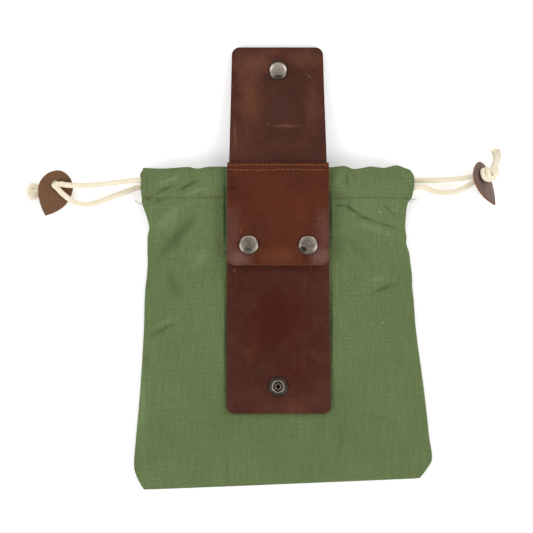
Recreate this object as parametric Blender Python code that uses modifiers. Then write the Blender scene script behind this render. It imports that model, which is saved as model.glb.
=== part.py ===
"""Drawstring belt pouch lying on its front on a table, with its leather side up.

Two hemmed canvas sheets make the bag. A leather strip runs down its back and past its mouth as a flap,
a belt loop is sewn and snapped over the strip, and two drawstrings run through both hems and end in
leather toggles. X runs to the right, Y towards the flap's end, Z up from the table. Sizes below are in
millimetres and are turned to metres where a mesh is made.
"""

import math

import bmesh
import bpy
from mathutils import Matrix, Vector

MM = 0.001
GAP = 0.3
SEAM_GAP = 0.5
ROUND_SIDES = 12
TURN_STEPS = 15
WELD_METRES = 0.00001

# Canvas bag
CANVAS = 1.0
FOLD_RADIUS = 1.3
TUNNEL = 5.1
HEM_INSET = 6.5
HEM_ALLOWANCE = 2.4
BODY_HOLLOW = 8.5
BODY_SQUARENESS = {"across": 4, "along": 8}
BODY_EDGE_FALL = 0.6
MOUTH_AT_SIDES = 2.0
MOUTH_EXTRA = 2.6
MOUTH_FLATNESS = 4
CASING_FULLNESS = 3
DROOP_AT_STITCHES = 1.5
DROOP_AT_FOLD = 0.6
SEAM_LIFT = 1.5
SIDE_SEAM_SHARPNESS = 16
BOTTOM_SEAM_SHARPNESS = 30

# Shares of the way up the body: where its seams run out, and where the back sheet climbs to the casing
SEAMS_END = (0.86, 0.99)
CLIMB_START = 0.75
CLIMB_LATER_AT_SIDES = 0.13
FIRST_ROW = 0.3

# The bag's outline, from the bottom seam to the stitch line: share of the way up, left x, y, right x, y
BODY_EDGES = (
    (0.000, -104.6, -166.1, 102.8, -157.5),
    (0.045, -109.5, -157.1, 107.6, -151.0),
    (0.085, -111.75, -149.0, 111.75, -143.5),
    (0.170, -110.6, -131.0, 109.8, -127.5),
    (0.330, -107.3, -94.1, 105.8, -92.0),
    (0.550, -104.3, -46.1, 99.3, -45.5),
    (0.760, -101.6, 0.0, 94.0, 0.0),
    (0.900, -101.5, 31.0, 90.8, 31.0),
    (0.950, -103.0, 42.0, 91.5, 42.5),
    (1.000, -105.9, 52.9, 96.3, 52.9),
)

# The casing's outline above the stitch line: share of the way to the fold, left x, y, right x, y
CASING_EDGES = (
    (0.0, -105.9, 52.9, 96.3, 52.9),
    (0.4, -106.5, 61.5, 98.2, 61.5),
    (0.8, -105.9, 69.8, 97.9, 69.0),
    (1.0, -105.0, 74.0, 95.9, 73.2),
)

# The wavy top fold: x, how far it stands above a straight line
TOP_WAVES = ((-106.0, 0.0), (-85.0, -0.3), (-44.0, 0.4), (0.0, 0.6), (43.0, 1.5), (55.0, -0.4),
             (70.0, 0.2), (76.0, 0.1), (84.0, 2.0), (92.0, 0.7), (98.0, 0.0))
WAVE_FALL = 3

# Soft folds of the back sheet: start x, y, end x, y, half width, height
FOLDS = (
    (-60.0, 49.0, -97.0, 12.0, 7.0, -1.1),
    (-60.0, 30.0, -93.0, -18.0, 8.0, -0.8),
    (-97.0, 44.0, -80.0, 50.0, 4.0, -0.6),
    (-58.0, -20.0, -90.0, -62.0, 9.0, -0.5),
    (-60.0, 66.0, -92.0, 58.0, 3.5, 0.5),
    (43.0, 47.0, 86.0, 31.0, 5.0, -1.2),
    (45.0, 30.0, 84.0, -4.0, 8.0, -0.8),
    (50.0, -30.0, 92.0, -58.0, 9.0, -0.6),
    (51.0, 73.0, 51.5, 57.0, 3.5, 0.5),
    (70.0, 70.0, 78.0, 57.0, 4.0, 0.5),
)
FOLD_CLEAR = (-46.0, 38.0)
FOLD_FADE = 8.0
DENTS_END = 0.25

# Leather strip: y, height of its middle surface
LEATHER = 2.0
STRIP_PATH = (
    (-108.9, 11.3), (-90.0, 11.6), (-10.0, 11.9), (15.0, 12.8), (30.0, 14.6), (45.0, 17.3),
    (55.0, 19.3), (66.0, 20.2), (76.0, 19.6), (90.0, 17.2), (110.0, 12.8), (130.0, 8.7),
    (148.4, 5.9), (158.0, 4.4), (166.1, 3.2),
)
CORNER = 5.7
CORNER_STEPS = (0.0, 0.12, 0.45, 1.0)

# The strip's long edges: y, left x, right x
STRIP_EDGES = (
    (-108.9, -42.6, 35.9), (-60.0, -42.1, 35.2), (14.0, -41.9, 34.3), (81.0, -40.3, 32.6),
    (126.0, -39.2, 31.1), (166.1, -38.3, 29.9),
)

# Belt loop: y, clear height over the strip
LOOP_X = -3.8
LOOP_HALF_WIDTH = 38.0
LOOP_GAPS = (
    (1.5, 4.3), (10.0, 4.5), (17.7, 4.6), (24.0, 4.8), (32.0, 5.5), (40.0, 5.8), (48.0, 5.0),
    (55.0, 3.6), (64.0, 1.5), (70.0, 0.5), (74.0, GAP), (79.1, GAP),
)

# Snaps: each stands off its leather by the gap
SNAP_GAP = 0.5
POST_RADIUS = 1.9
HOLE_RADIUS = 2.2
PUNCH_ABOVE = 3.0
PUNCH_BELOW = {"leather": 3.0, "loop_stud": 6.0, "snap_stud": 4.0}
CAP_UNDERCUT = 0.4
SOCKET_RADIUS = 6.0
SOCKET_DEPTH = 3.0
SOCKET_CHAMFER = 0.6
SOCKET_MOUTH = 3.4
SOCKET_RECESS = 1.2
STUD_TOP = 2.5
STUD_HEAD = 3.0
STUD_NECK = 2.6
STUD_ROLL = 0.5
STUD_PLAY = 0.35
FLANGE_RADIUS = 5.4
FLANGE = 0.3
RIVET_RADIUS = 5.0
RIVET_HEAD = 0.9
RIVET_CLEAR = 0.55
FLAP_SNAP = (-3.6, 148.4)
FLAP_CAP_RADIUS = 7.0
LOOP_SNAPS = {"left": (-25.7, 17.8), "right": (18.7, 17.6)}
LOOP_CAP_RADIUS = 7.7
SNAP_STUD = (-3.7, -88.4)

# A cap's dome from its middle out: share of its radius, height over its face
CAP_DOME = ((0.0, 1.7), (0.72, 1.45), (0.94, 0.95), (1.0, 0.4))

# The snap stud from its middle out: radius, height over its face
STUD_RINGS = (
    (0.0, 0.0), (1.65, 0.0), (1.65, 2.3), (2.3, 2.6), (2.95, 2.2), (3.2, 0.9), (3.8, 0.9),
    (4.1, 2.5), (4.8, 2.3), (5.1, 0.9), (5.9, 1.2), (7.0, 1.0), (7.6, 0.0),
)

# Drawstrings
CORD = 4.2
CORD_Y_MIDDLE = 63.5
CORD_Y_OFFSET = 2.65
STEP_ALONG_RUN = 13.0
STEP_ALONG_STRAND = 5.0
RUN_DROP = 0.1
UTURN_BULGE = 4.7
UTURN_STEPS = 8
UTURN_X = {"left": -100.2, "right": 92.0}
EXIT_X = {"left": -106.3, "right": 98.6}

# Toggles: the leather offcut's outline seen from its grain side, from the tip round to the tip again:
# across, towards the tip, measured from the hole
TOGGLE_LEATHER = 1.6
TOGGLE_OUTLINE = (
    (0.0, 26.0), (-6.0, 18.9), (-10.8, 9.7), (-11.7, 2.0), (-8.3, -5.8), (-0.5, -11.0), (7.6, -9.0),
    (12.9, -2.4), (13.7, 5.2), (11.4, 13.8), (6.7, 20.3), (0.0, 26.0),
)
TOGGLE_STEP = 3.2
TOGGLE_HOLE = 3.4
NECK_RADIUS = 3.0

# Each toggle's hole, its heading from hole to tip, how far the tip points down and how far the piece leans
# about its own length, in degrees. The grain side has the knot: 1 where that is the upper side. The knot's
# half sizes are across the toggle, towards its tip and along the hole, and it sits nearer the tip by a shift.
TOGGLES = {
    "left": {
        "hole": (-170.6, 63.3, 9.4), "tip_heading": (-0.326, -0.945), "tip_down": 16.0, "lean": 0.0,
        "grain_up": -1, "knot": (6.4, 4.6, 3.9), "knot_shift": 0.0,
    },
    "right": {
        "hole": (149.7, 71.4, 12.2), "tip_heading": (0.366, -0.931), "tip_down": 8.0, "lean": -65.0,
        "grain_up": 1, "knot": (6.0, 5.4, 5.6), "knot_shift": 2.0,
    },
}

# The free ends of the drawstrings, from the casing to the toggle: x, y, z
STRANDS = {
    "left_strand_upper": (
        (-106.7, 66.1, 12.5), (-109.5, 66.0, 12.4), (-114.5, 65.7, 11.8), (-117.7, 65.4, 11.4),
        (-121.0, 65.0, 11.0), (-124.5, 64.6, 10.8), (-128.0, 64.2, 10.7), (-131.8, 63.7, 10.8),
        (-135.7, 63.2, 11.2), (-142.0, 62.6, 12.2), (-148.0, 62.3, 13.4), (-153.5, 62.2, 14.4),
        (-158.5, 62.3, 14.8), (-163.0, 62.7, 14.6), (-166.8, 63.4, 14.0),
    ),
    "left_strand_lower": (
        (-107.0, 60.85, 3.6), (-109.2, 60.8, 3.5), (-112.0, 60.1, 3.1), (-116.6, 58.2, 2.6),
        (-119.5, 57.1, 2.4), (-122.5, 56.1, 2.3), (-128.1, 54.0, 2.4), (-131.0, 52.8, 2.6),
        (-134.0, 51.6, 3.0), (-139.6, 49.5, 4.3), (-145.7, 48.2, 6.4), (-152.6, 48.6, 8.8),
        (-158.9, 51.2, 10.6), (-164.2, 55.2, 11.8), (-168.3, 59.4, 12.7),
    ),
    "right_strand_upper": (
        (99.0, 66.15, 3.55), (101.5, 66.2, 3.5), (103.7, 66.3, 3.3), (106.0, 66.4, 3.1),
        (109.8, 66.4, 2.9), (113.7, 66.4, 2.9), (117.2, 66.5, 3.1), (120.7, 66.6, 3.6),
        (124.2, 66.8, 4.5), (127.7, 67.0, 5.8), (131.4, 67.3, 7.5), (135.0, 67.7, 9.4),
        (137.8, 68.2, 10.8), (140.5, 68.7, 12.0), (144.4, 69.9, 13.1),
    ),
    "right_strand_lower": (
        (99.0, 60.85, 12.5), (101.5, 61.0, 12.4), (104.0, 60.9, 11.9), (106.2, 60.5, 11.0),
        (108.5, 59.6, 9.2), (111.3, 58.7, 6.5), (113.6, 58.0, 4.9), (116.2, 57.4, 3.8),
        (119.4, 57.0, 3.2), (124.5, 57.0, 3.6), (127.9, 57.4, 4.5), (131.3, 58.3, 5.7),
        (137.6, 61.2, 7.9), (142.3, 64.4, 9.1), (146.5, 67.5, 9.8),
    ),
}

# How far the cord's two ends stand out of the toggle's flesh side
NECK_REACH = 2.3

# Frayed tails: heading in degrees, length, sideways start, root radius, end radius and end height
LOCKS = {
    "left": (
        (182.0, 22.0, -0.7, 2.2, 1.3, 1.6), (192.0, 22.8, -0.2, 2.2, 1.3, 1.7),
        (202.0, 23.5, 0.2, 2.2, 1.3, 1.6), (212.0, 23.3, 0.7, 2.2, 1.2, 1.5),
    ),
    "right": (
        (92.0, 18.5, 1.8, 2.2, 1.3, 2.0), (86.0, 19.0, 0.6, 2.2, 1.3, 1.9),
        (80.0, 19.0, -0.6, 2.2, 1.3, 1.7), (73.0, 18.5, -1.8, 2.2, 1.2, 1.6),
    ),
}
LOCK_SIDES = 7
LOCK_START = 1.5
LOCK_DROP = 0.4


def through(table, at, column=1):
    """A smooth curve through a table's rows: cubic pieces whose slopes come from the neighbouring rows."""
    keys = [row[0] for row in table]
    values = [row[column] for row in table]
    at = min(max(at, keys[0]), keys[-1])
    i = max(k for k in range(len(keys) - 1) if keys[k] <= at)

    def slope(k):
        low, high = max(k - 1, 0), min(k + 1, len(keys) - 1)
        return (values[high] - values[low]) / (keys[high] - keys[low])

    span = keys[i + 1] - keys[i]
    s = (at - keys[i]) / span
    return (
        values[i] * (1 + 2 * s) * (1 - s) ** 2
        + slope(i) * span * s * (1 - s) ** 2
        + values[i + 1] * s * s * (3 - 2 * s)
        - slope(i + 1) * span * s * s * (1 - s)
    )


def ease(low, high, at):
    """0 below low, 1 above high, smooth between."""
    s = min(max((at - low) / (high - low), 0.0), 1.0)
    return s * s * (3 - 2 * s)


def mouth(u):
    """Clear height between the two casings, at u from -1 at the left end to 1 at the right."""
    return MOUTH_AT_SIDES + MOUTH_EXTRA * (1 - u**MOUTH_FLATNESS)


def casing_depth(c):
    """Distance between a casing's two middle surfaces, from the stitch line at 0 to the fold at 1."""
    at_end = CANVAS + GAP if c < 0.5 else 2 * FOLD_RADIUS
    return at_end + (TUNNEL + CANVAS - at_end) * (1 - abs(2 * c - 1) ** CASING_FULLNESS)


def lower_tunnel_z():
    return CANVAS + TUNNEL / 2


def upper_tunnel_z(u, c=0.5):
    """Height of the middle of the upper casing's tunnel, which droops a little at both its edges."""
    droop = (DROOP_AT_STITCHES if c < 0.5 else DROOP_AT_FOLD) * (2 * c - 1) ** 2
    return 3 * CANVAS + TUNNEL * 1.5 + mouth(u) - droop


def rim(u, t):
    """How near a point of the bag's body is to its side and bottom seams, 1 at the seam."""
    inside = (1 - abs(u) ** SIDE_SEAM_SHARPNESS) * (1 - (1 - t) ** BOTTOM_SEAM_SHARPNESS)
    return (1 - inside) * (1 - ease(*SEAMS_END, t))


def front_height(u, t):
    """Middle surface of the front sheet, flat on the table apart from its seams."""
    return CANVAS / 2 + SEAM_LIFT * rim(u, t)


def hollow(u, t):
    """Clear height inside the bag's body."""
    across = (1 - abs(u) ** BODY_SQUARENESS["across"]) ** BODY_EDGE_FALL
    along = (1 - (1 - t) ** BODY_SQUARENESS["along"]) ** BODY_EDGE_FALL
    return SEAM_GAP + (BODY_HOLLOW - SEAM_GAP) * across * along


def back_height(u, t):
    """Middle surface of the back sheet's body, which climbs to the casing's stitch line."""
    body = front_height(u, t) + CANVAS + hollow(u, t)
    at_stitches = upper_tunnel_z(u, 0.0) + casing_depth(0.0) / 2
    climb = ease(CLIMB_START + CLIMB_LATER_AT_SIDES * u * u, 1.0, t)
    return body + (at_stitches - body) * climb


def fold_relief(x, y):
    """Height that the soft folds add at a point of the back sheet, none beside the leather."""
    total = 0.0
    for x0, y0, x1, y1, half_width, height in FOLDS:
        along = Vector((x1 - x0, y1 - y0))
        share = (Vector((x - x0, y - y0)) @ along) / along.length_squared
        nearest = Vector((x0, y0)) + along * min(max(share, 0.0), 1.0)
        total += height * math.exp(-((Vector((x, y)) - nearest).length / half_width) ** 2)
    left, right = FOLD_CLEAR
    return total * max(ease(0.0, FOLD_FADE, left - x), ease(0.0, FOLD_FADE, x - right))


def body_xy(u, t):
    """Plan position of a point of the bag's body."""
    left = Vector((through(BODY_EDGES, t, 1), through(BODY_EDGES, t, 2)))
    right = Vector((through(BODY_EDGES, t, 3), through(BODY_EDGES, t, 4)))
    return left.lerp(right, (u + 1) / 2)


def casing_xy(u, c, inset=0.0):
    """Plan position of a point of a casing. The hem is cut shorter than the casing by inset at each end."""
    left = Vector((through(CASING_EDGES, c, 1) + inset, through(CASING_EDGES, c, 2)))
    right = Vector((through(CASING_EDGES, c, 3) - inset, through(CASING_EDGES, c, 4)))
    point = left.lerp(right, (u + 1) / 2)
    point.y += through(TOP_WAVES, point.x) * min(max(c, 0.0), 1.0) ** WAVE_FALL
    return point


def canvas_path(body_rows, casing_rows):
    """Stations along a canvas sheet: up the body, over the casing, round its fold and back down the hem.

    A hem station of -1 is the hem's cut edge, past the stitch line by the hem's allowance.
    """
    body = [("body", k / body_rows) for k in range(body_rows + 1)]
    body.insert(1, ("body", FIRST_ROW / body_rows))
    shares = [(1 - math.cos(math.pi * k / casing_rows)) / 2 for k in range(1, casing_rows + 1)]
    outer = [("casing", share) for share in shares]
    fold = [("fold", 1 / 3), ("fold", 2 / 3)]
    hem = [("hem", share) for share in reversed(shares)] + [("hem", 0.0), ("hem", -1.0)]
    return body + outer + fold + hem


def back_point(u, station):
    """Middle surface of the back sheet: outer side of its casing up, hem towards the bag's inside."""
    kind, share = station
    if kind == "body":
        point = body_xy(u, share)
        return Vector((*point, back_height(u, share) + fold_relief(*point)))
    if kind == "fold":
        point = casing_xy(u, 1.0, HEM_INSET * share)
        turn = math.pi * share
        lift = FOLD_RADIUS * math.cos(turn)
        return Vector((point.x, point.y + FOLD_RADIUS * math.sin(turn), upper_tunnel_z(u, 1.0) + lift))
    if kind == "casing":
        point = casing_xy(u, share)
        height = upper_tunnel_z(u, share) + casing_depth(share) / 2
        relief = fold_relief(*point)
        clear_of_cords = relief if relief > 0 else relief * (1 - ease(0.0, DENTS_END, share))
        return Vector((*point, height + clear_of_cords))
    point = casing_xy(u, share, HEM_INSET)
    point.y += min(share, 0.0) * HEM_ALLOWANCE
    share = max(share, 0.0)
    return Vector((*point, upper_tunnel_z(u, share) - casing_depth(share) / 2))


def front_point(u, station):
    """Middle surface of the front sheet: its casing's outer side lies on the table, its hem above."""
    kind, share = station
    if kind == "body":
        point = body_xy(u, share)
        return Vector((*point, front_height(u, share)))
    if kind == "fold":
        point = casing_xy(u, 1.0, HEM_INSET * share)
        turn = math.pi * share
        lift = FOLD_RADIUS * (1 - math.cos(turn))
        return Vector((point.x, point.y + FOLD_RADIUS * math.sin(turn), CANVAS / 2 + lift))
    if kind == "casing":
        return Vector((*casing_xy(u, share), CANVAS / 2))
    point = casing_xy(u, share, HEM_INSET)
    point.y += min(share, 0.0) * HEM_ALLOWANCE
    share = max(share, 0.0)
    return Vector((*point, CANVAS / 2 + casing_depth(share)))


def u_and_t_at(x, y, halvings=30):
    """The body's u and t at a plan position, by halving."""
    low, high, u = 0.0, 1.0, 0.0
    for _ in range(halvings):
        t = (low + high) / 2
        left, right = body_xy(-1, t), body_xy(1, t)
        u = 2 * (x - left.x) / (right.x - left.x) - 1
        if body_xy(u, t).y < y:
            low = t
        else:
            high = t
    return u, t


def strip_height(y):
    return through(STRIP_PATH, y)


def loop_height(y):
    return strip_height(y) + LEATHER + through(LOOP_GAPS, y)


def slope_at(height, y, step=1.0):
    """Tilt about X of a surface that follows height along Y."""
    return math.atan2(height(y + step) - height(y - step), 2 * step)


def material(name, colour, roughness, metallic=0.0):
    made = bpy.data.materials.new(name)
    made.use_nodes = True
    shader = made.node_tree.nodes["Principled BSDF"]
    shader.inputs["Base Color"].default_value = (*colour, 1.0)
    shader.inputs["Roughness"].default_value = roughness
    shader.inputs["Metallic"].default_value = metallic
    made.diffuse_color = (*colour, 1.0)
    return made


def add_object(name, data, collection, finish=None):
    made = bpy.data.objects.new(name, data)
    collection.objects.link(made)
    if finish is not None:
        data.materials.append(finish)
    return made


def add_cutter(name, data):
    made = add_object(name, data, CUTTERS)
    made.hide_render = True
    made.display_type = "WIRE"
    return made


def sheet(name, columns, stations, point, thickness, finish, even=True):
    """An open grid laid along point(u, station), given its thickness about its middle surface."""
    bm = bmesh.new()
    rows = len(stations)
    bmesh.ops.create_grid(bm, x_segments=columns - 1, y_segments=rows - 1, size=1)
    for vert in bm.verts:
        station = stations[round((vert.co.y + 1) / 2 * (rows - 1))]
        vert.co = point(vert.co.x, station) * MM
    mesh = bpy.data.meshes.new(name)
    bm.to_mesh(mesh)
    bm.free()
    made = add_object(name, mesh, POUCH, finish)
    wall = made.modifiers.new("Wall", "SOLIDIFY")
    wall.thickness = thickness * MM
    wall.offset = 0.0
    wall.use_even_offset = even
    mesh.shade_smooth()
    return made


def cylinder_mesh(name, radius, low, high):
    bm = bmesh.new()
    bmesh.ops.create_cone(
        bm, cap_ends=True, segments=ROUND_SIDES, radius1=radius * MM, radius2=radius * MM,
        depth=(high - low) * MM,
    )
    bmesh.ops.translate(bm, verts=bm.verts, vec=Vector((0, 0, (high + low) / 2 * MM)))
    mesh = bpy.data.meshes.new(name)
    bm.to_mesh(mesh)
    bm.free()
    return mesh


def punch(name, place, walls, below):
    """Cuts a snap's hole through leather and canvas walls, along the snap's own axis."""
    cutter = add_cutter(name, cylinder_mesh(name, HOLE_RADIUS, -below, PUNCH_ABOVE))
    cutter.matrix_world = place
    for wall in walls:
        cut = wall.modifiers.new(name, "BOOLEAN")
        cut.operation = "DIFFERENCE"
        cut.solver = "EXACT"
        cut.object = cutter


def turned(name, profile, place):
    """A turned metal piece from radius and height pairs, listed from the top down its outer side."""
    mesh = bpy.data.meshes.new(name)
    points = [(radius * MM, 0, height * MM) for radius, height in profile]
    mesh.from_pydata(points, [(k, k + 1) for k in range(len(points) - 1)], [])
    made = add_object(name, mesh, POUCH, METAL_FINISH)
    made.matrix_world = place
    screw = made.modifiers.new("Turn", "SCREW")
    screw.steps = screw.render_steps = TURN_STEPS
    screw.use_merge_vertices = True
    screw.merge_threshold = WELD_METRES


def snap_place(at, height, below=0.0):
    """A snap's frame on a leather surface, square to it, moved below it along the snap's own axis."""
    x, y = at
    tilt = Matrix.Rotation(slope_at(height, y), 4, "X")
    return Matrix.Translation(Vector((x, y, height(y))) * MM) @ tilt @ Matrix.Translation((0, 0, -below * MM))


def back_panel():
    stations = canvas_path(body_rows=19, casing_rows=6)
    return sheet("back_panel", 25, stations, back_point, CANVAS, CANVAS_FINISH, even=False)


def front_panel():
    stations = canvas_path(body_rows=10, casing_rows=5)
    return sheet("front_panel", 15, stations, front_point, CANVAS, CANVAS_FINISH, even=False)


def corner_stations(low, high, rows, radius):
    """Places along a strip from low to high, closer together in its two rounded ends."""
    ends = [step * radius for step in CORNER_STEPS]
    middle = [low + radius + (high - low - 2 * radius) * k / rows for k in range(1, rows)]
    return [low + end for end in ends] + middle + [high - end for end in reversed(ends)]


def rounded(y, low, high, half_width, radius, round_top=True):
    """Half width of a strip at y, drawn in at its rounded ends."""
    end = min(y - low, high - y if round_top else radius)
    short = radius - min(max(end, 0.0), radius)
    return half_width - radius + math.sqrt(radius * radius - short * short)


def leather_strip():
    low, high = STRIP_PATH[0][0], STRIP_PATH[-1][0]

    def point(u, y):
        left, right = through(STRIP_EDGES, y, 1), through(STRIP_EDGES, y, 2)
        half_width = rounded(y, low, high, (right - left) / 2, CORNER)
        return Vector(((left + right) / 2 + u * half_width, y, strip_height(y)))

    return sheet("leather_strip", 5, corner_stations(low, high, 22, CORNER), point, LEATHER, LEATHER_FINISH)


def belt_loop():
    low, high = LOOP_GAPS[0][0], LOOP_GAPS[-1][0]

    def point(u, y):
        half_width = rounded(y, low, high, LOOP_HALF_WIDTH, CORNER, round_top=False)
        return Vector((LOOP_X + u * half_width, y, loop_height(y)))

    stations = corner_stations(low, high, 13, CORNER)
    return sheet("belt_loop", 5, stations, point, LEATHER, LOOP_FINISH)


def cap_and_socket(name, cap_radius, place):
    """A snap's domed cap, its post through the leather and the socket under it, pressed into one piece."""
    face = LEATHER / 2 + SNAP_GAP
    low = -face - SOCKET_DEPTH
    dome = [(share * cap_radius, face + height) for share, height in CAP_DOME]
    profile = (
        *dome, (cap_radius - CAP_UNDERCUT, face), (POST_RADIUS, face), (POST_RADIUS, -face),
        (SOCKET_RADIUS, -face), (SOCKET_RADIUS, low + SOCKET_CHAMFER), (SOCKET_RADIUS - SOCKET_CHAMFER, low),
        (SOCKET_MOUTH, low), (SOCKET_MOUTH, -face - SOCKET_RECESS), (0.0, -face - SOCKET_RECESS),
    )
    turned(name, profile, place)


def rivet_tail(at, place):
    """The end of a stud's profile: its post through strip and canvas, and its head inside the bag."""
    z = place.translation.z / MM
    top = back_height(*u_and_t_at(*at)) - z - CANVAS / 2 - RIVET_CLEAR
    low = top - RIVET_HEAD
    return ((POST_RADIUS, top), (RIVET_RADIUS, top), (RIVET_RADIUS, low), (0.0, low))


def loop_stud(side, place):
    """The stud that one of the belt loop's sockets closes on."""
    face = LEATHER / 2 + SNAP_GAP
    room = through(LOOP_GAPS, LOOP_SNAPS[side][1]) - SNAP_GAP - SOCKET_RECESS
    reach = LEATHER / 2 + room - STUD_PLAY
    profile = (
        (0.0, reach), (STUD_TOP, reach), (STUD_HEAD, reach - STUD_ROLL), (STUD_NECK, face + FLANGE),
        (FLANGE_RADIUS, face + FLANGE), (FLANGE_RADIUS, face), (POST_RADIUS, face),
        *rivet_tail(LOOP_SNAPS[side], place),
    )
    turned(f"loop_stud_{side}", profile, place)


def snap_stud(place):
    """The stud that the flap closes on: a ridged flange, a raised ring and a hollow rolled post."""
    face = LEATHER / 2 + SNAP_GAP
    rings = [(radius, face + height) for radius, height in STUD_RINGS]
    turned("snap_stud", (*rings, (POST_RADIUS, face), *rivet_tail(SNAP_STUD, place)), place)


def leather_and_snaps(back):
    """The strip and the belt loop over the bag's back, with the snaps that hold them."""
    strip, loop = leather_strip(), belt_loop()
    flap_place = snap_place(FLAP_SNAP, strip_height)
    cap_and_socket("flap_snap", FLAP_CAP_RADIUS, flap_place)
    punch("flap_hole", flap_place, [strip], PUNCH_BELOW["leather"])
    for side, at in LOOP_SNAPS.items():
        cap_place = snap_place(at, loop_height)
        stud_place = snap_place(at, loop_height, LEATHER + through(LOOP_GAPS, at[1]))
        cap_and_socket(f"loop_snap_{side}", LOOP_CAP_RADIUS, cap_place)
        loop_stud(side, stud_place)
        punch(f"loop_hole_{side}", cap_place, [loop], PUNCH_BELOW["leather"])
        punch(f"rivet_hole_{side}", stud_place, [strip, back], PUNCH_BELOW["loop_stud"])
    stud_place = snap_place(SNAP_STUD, strip_height)
    snap_stud(stud_place)
    punch("stud_hole", stud_place, [strip, back], PUNCH_BELOW["snap_stud"])


def smooth_route(points, step):
    """Points about step apart on a smooth curve through a route's own points."""
    rows = [(0.0, *points[0])]
    for before, after in zip(points, points[1:]):
        rows.append((rows[-1][0] + (Vector(after) - Vector(before)).length, *after))
    length = rows[-1][0]
    count = max(2, round(length / step))
    return [tuple(through(rows, length * k / count, axis) for axis in (1, 2, 3)) for k in range(count + 1)]


def cord_tube(name, points):
    """A plain cord along points, as a bevelled poly line with capped ends."""
    curve = bpy.data.curves.new(name, "CURVE")
    curve.dimensions = "3D"
    curve.bevel_depth = CORD / 2 * MM
    curve.bevel_resolution = 2
    curve.use_fill_caps = True
    spline = curve.splines.new("POLY")
    spline.points.add(len(points) - 1)
    for target, point in zip(spline.points, points):
        target.co = (*(Vector(point) * MM), 1.0)
    add_object(name, curve, POUCH, CORD_FINISH)


def cord_run(side, far):
    """A drawstring's hidden run: through the upper casing, round the far ends of both hems, back below."""
    toward = 1 if far == "right" else -1
    y_upper = CORD_Y_MIDDLE + CORD_Y_OFFSET * toward
    y_lower = CORD_Y_MIDDLE - CORD_Y_OFFSET * toward
    start, turn = EXIT_X[side], UTURN_X[far]
    middle_x = (EXIT_X["left"] + EXIT_X["right"]) / 2
    half_length = (EXIT_X["right"] - EXIT_X["left"]) / 2
    count = round(abs(turn - start) / STEP_ALONG_RUN)
    stations = [start + (turn - start) * k / count for k in range(count + 1)]

    def upper(x):
        u = min(max((x - middle_x) / half_length, -1.0), 1.0)
        return Vector((x, y_upper, upper_tunnel_z(u) - RUN_DROP))

    def lower(x):
        return Vector((x, y_lower, lower_tunnel_z() - RUN_DROP))

    middle = (upper(turn) + lower(turn)) / 2
    half = (upper(turn) - lower(turn)) / 2
    bulge = []
    for step in range(1, UTURN_STEPS):
        angle = math.pi * step / UTURN_STEPS
        reach = toward * UTURN_BULGE * math.sin(angle)
        bulge.append(middle + half * math.cos(angle) + Vector((reach, 0, 0)))
    route = [upper(x) for x in stations] + bulge + [lower(x) for x in reversed(stations)]
    cord_tube(f"{side}_cord_run", route)


def toggle_frame(side):
    """The toggle's axes: X across it, Y towards its tip, Z out of its upper face, origin in its hole."""
    place = TOGGLES[side]
    tip = Vector((*place["tip_heading"], 0)).normalized()
    up = Vector((0, 0, 1))
    matrix = Matrix.Translation(Vector(place["hole"]) * MM)
    basis = Matrix((tip.cross(up), tip, up)).transposed().to_4x4()
    down = Matrix.Rotation(-math.radians(place["tip_down"]), 4, "X")
    lean = Matrix.Rotation(math.radians(place["lean"]), 4, "Y")
    return matrix @ basis @ down @ lean


def toggle(side):
    """A leaf-shaped offcut of leather with one hole, cut flat."""
    face = TOGGLES[side]["grain_up"]
    corners = [(face * across, towards_tip, 0.0) for across, towards_tip in TOGGLE_OUTLINE]
    outline = smooth_route(corners, TOGGLE_STEP)[:-1]
    turns = [2 * math.pi * k / ROUND_SIDES for k in range(ROUND_SIDES)]
    hole = [(TOGGLE_HOLE * math.cos(turn), TOGGLE_HOLE * math.sin(turn), 0.0) for turn in turns]
    name = f"{side}_toggle"
    curve = bpy.data.curves.new(name, "CURVE")
    curve.dimensions = "2D"
    curve.fill_mode = "BOTH"
    curve.extrude = TOGGLE_LEATHER / 2 * MM
    for points in (outline, hole):
        spline = curve.splines.new("POLY")
        spline.points.add(len(points) - 1)
        for target, (x, y, _) in zip(spline.points, points):
            target.co = (x * MM, y * MM, 0, 1)
        spline.use_cyclic_u = True
    made = add_object(name, curve, POUCH, TOGGLE_FINISH)
    made.matrix_world = toggle_frame(side)


def ball(name, centre, half_sizes, segments=14, rings=8):
    bm = bmesh.new()
    bmesh.ops.create_uvsphere(bm, u_segments=segments, v_segments=rings, radius=1)
    for vert in bm.verts:
        vert.co = (Vector(vert.co) * Vector(half_sizes) + Vector(centre)) * MM
    mesh = bpy.data.meshes.new(name)
    bm.to_mesh(mesh)
    bm.free()
    return mesh


def lock(name, root, tip, root_radius, tip_radius):
    """One lock of a frayed tail, a blunt cone from root to tip."""
    root, tip = Vector(root), Vector(tip)
    bm = bmesh.new()
    bmesh.ops.create_cone(
        bm, cap_ends=True, segments=LOCK_SIDES, radius1=root_radius * MM, radius2=tip_radius * MM,
        depth=(tip - root).length * MM,
    )
    turn = Vector((0, 0, 1)).rotation_difference(tip - root).to_matrix().to_4x4()
    bmesh.ops.transform(bm, matrix=Matrix.Translation((root + tip) / 2 * MM) @ turn, verts=bm.verts)
    mesh = bpy.data.meshes.new(name)
    bm.to_mesh(mesh)
    bm.free()
    return mesh


def fuse(body, other):
    join = body.modifiers.new(other.name, "BOOLEAN")
    join.operation = "UNION"
    join.solver = "EXACT"
    join.object = other


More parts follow.
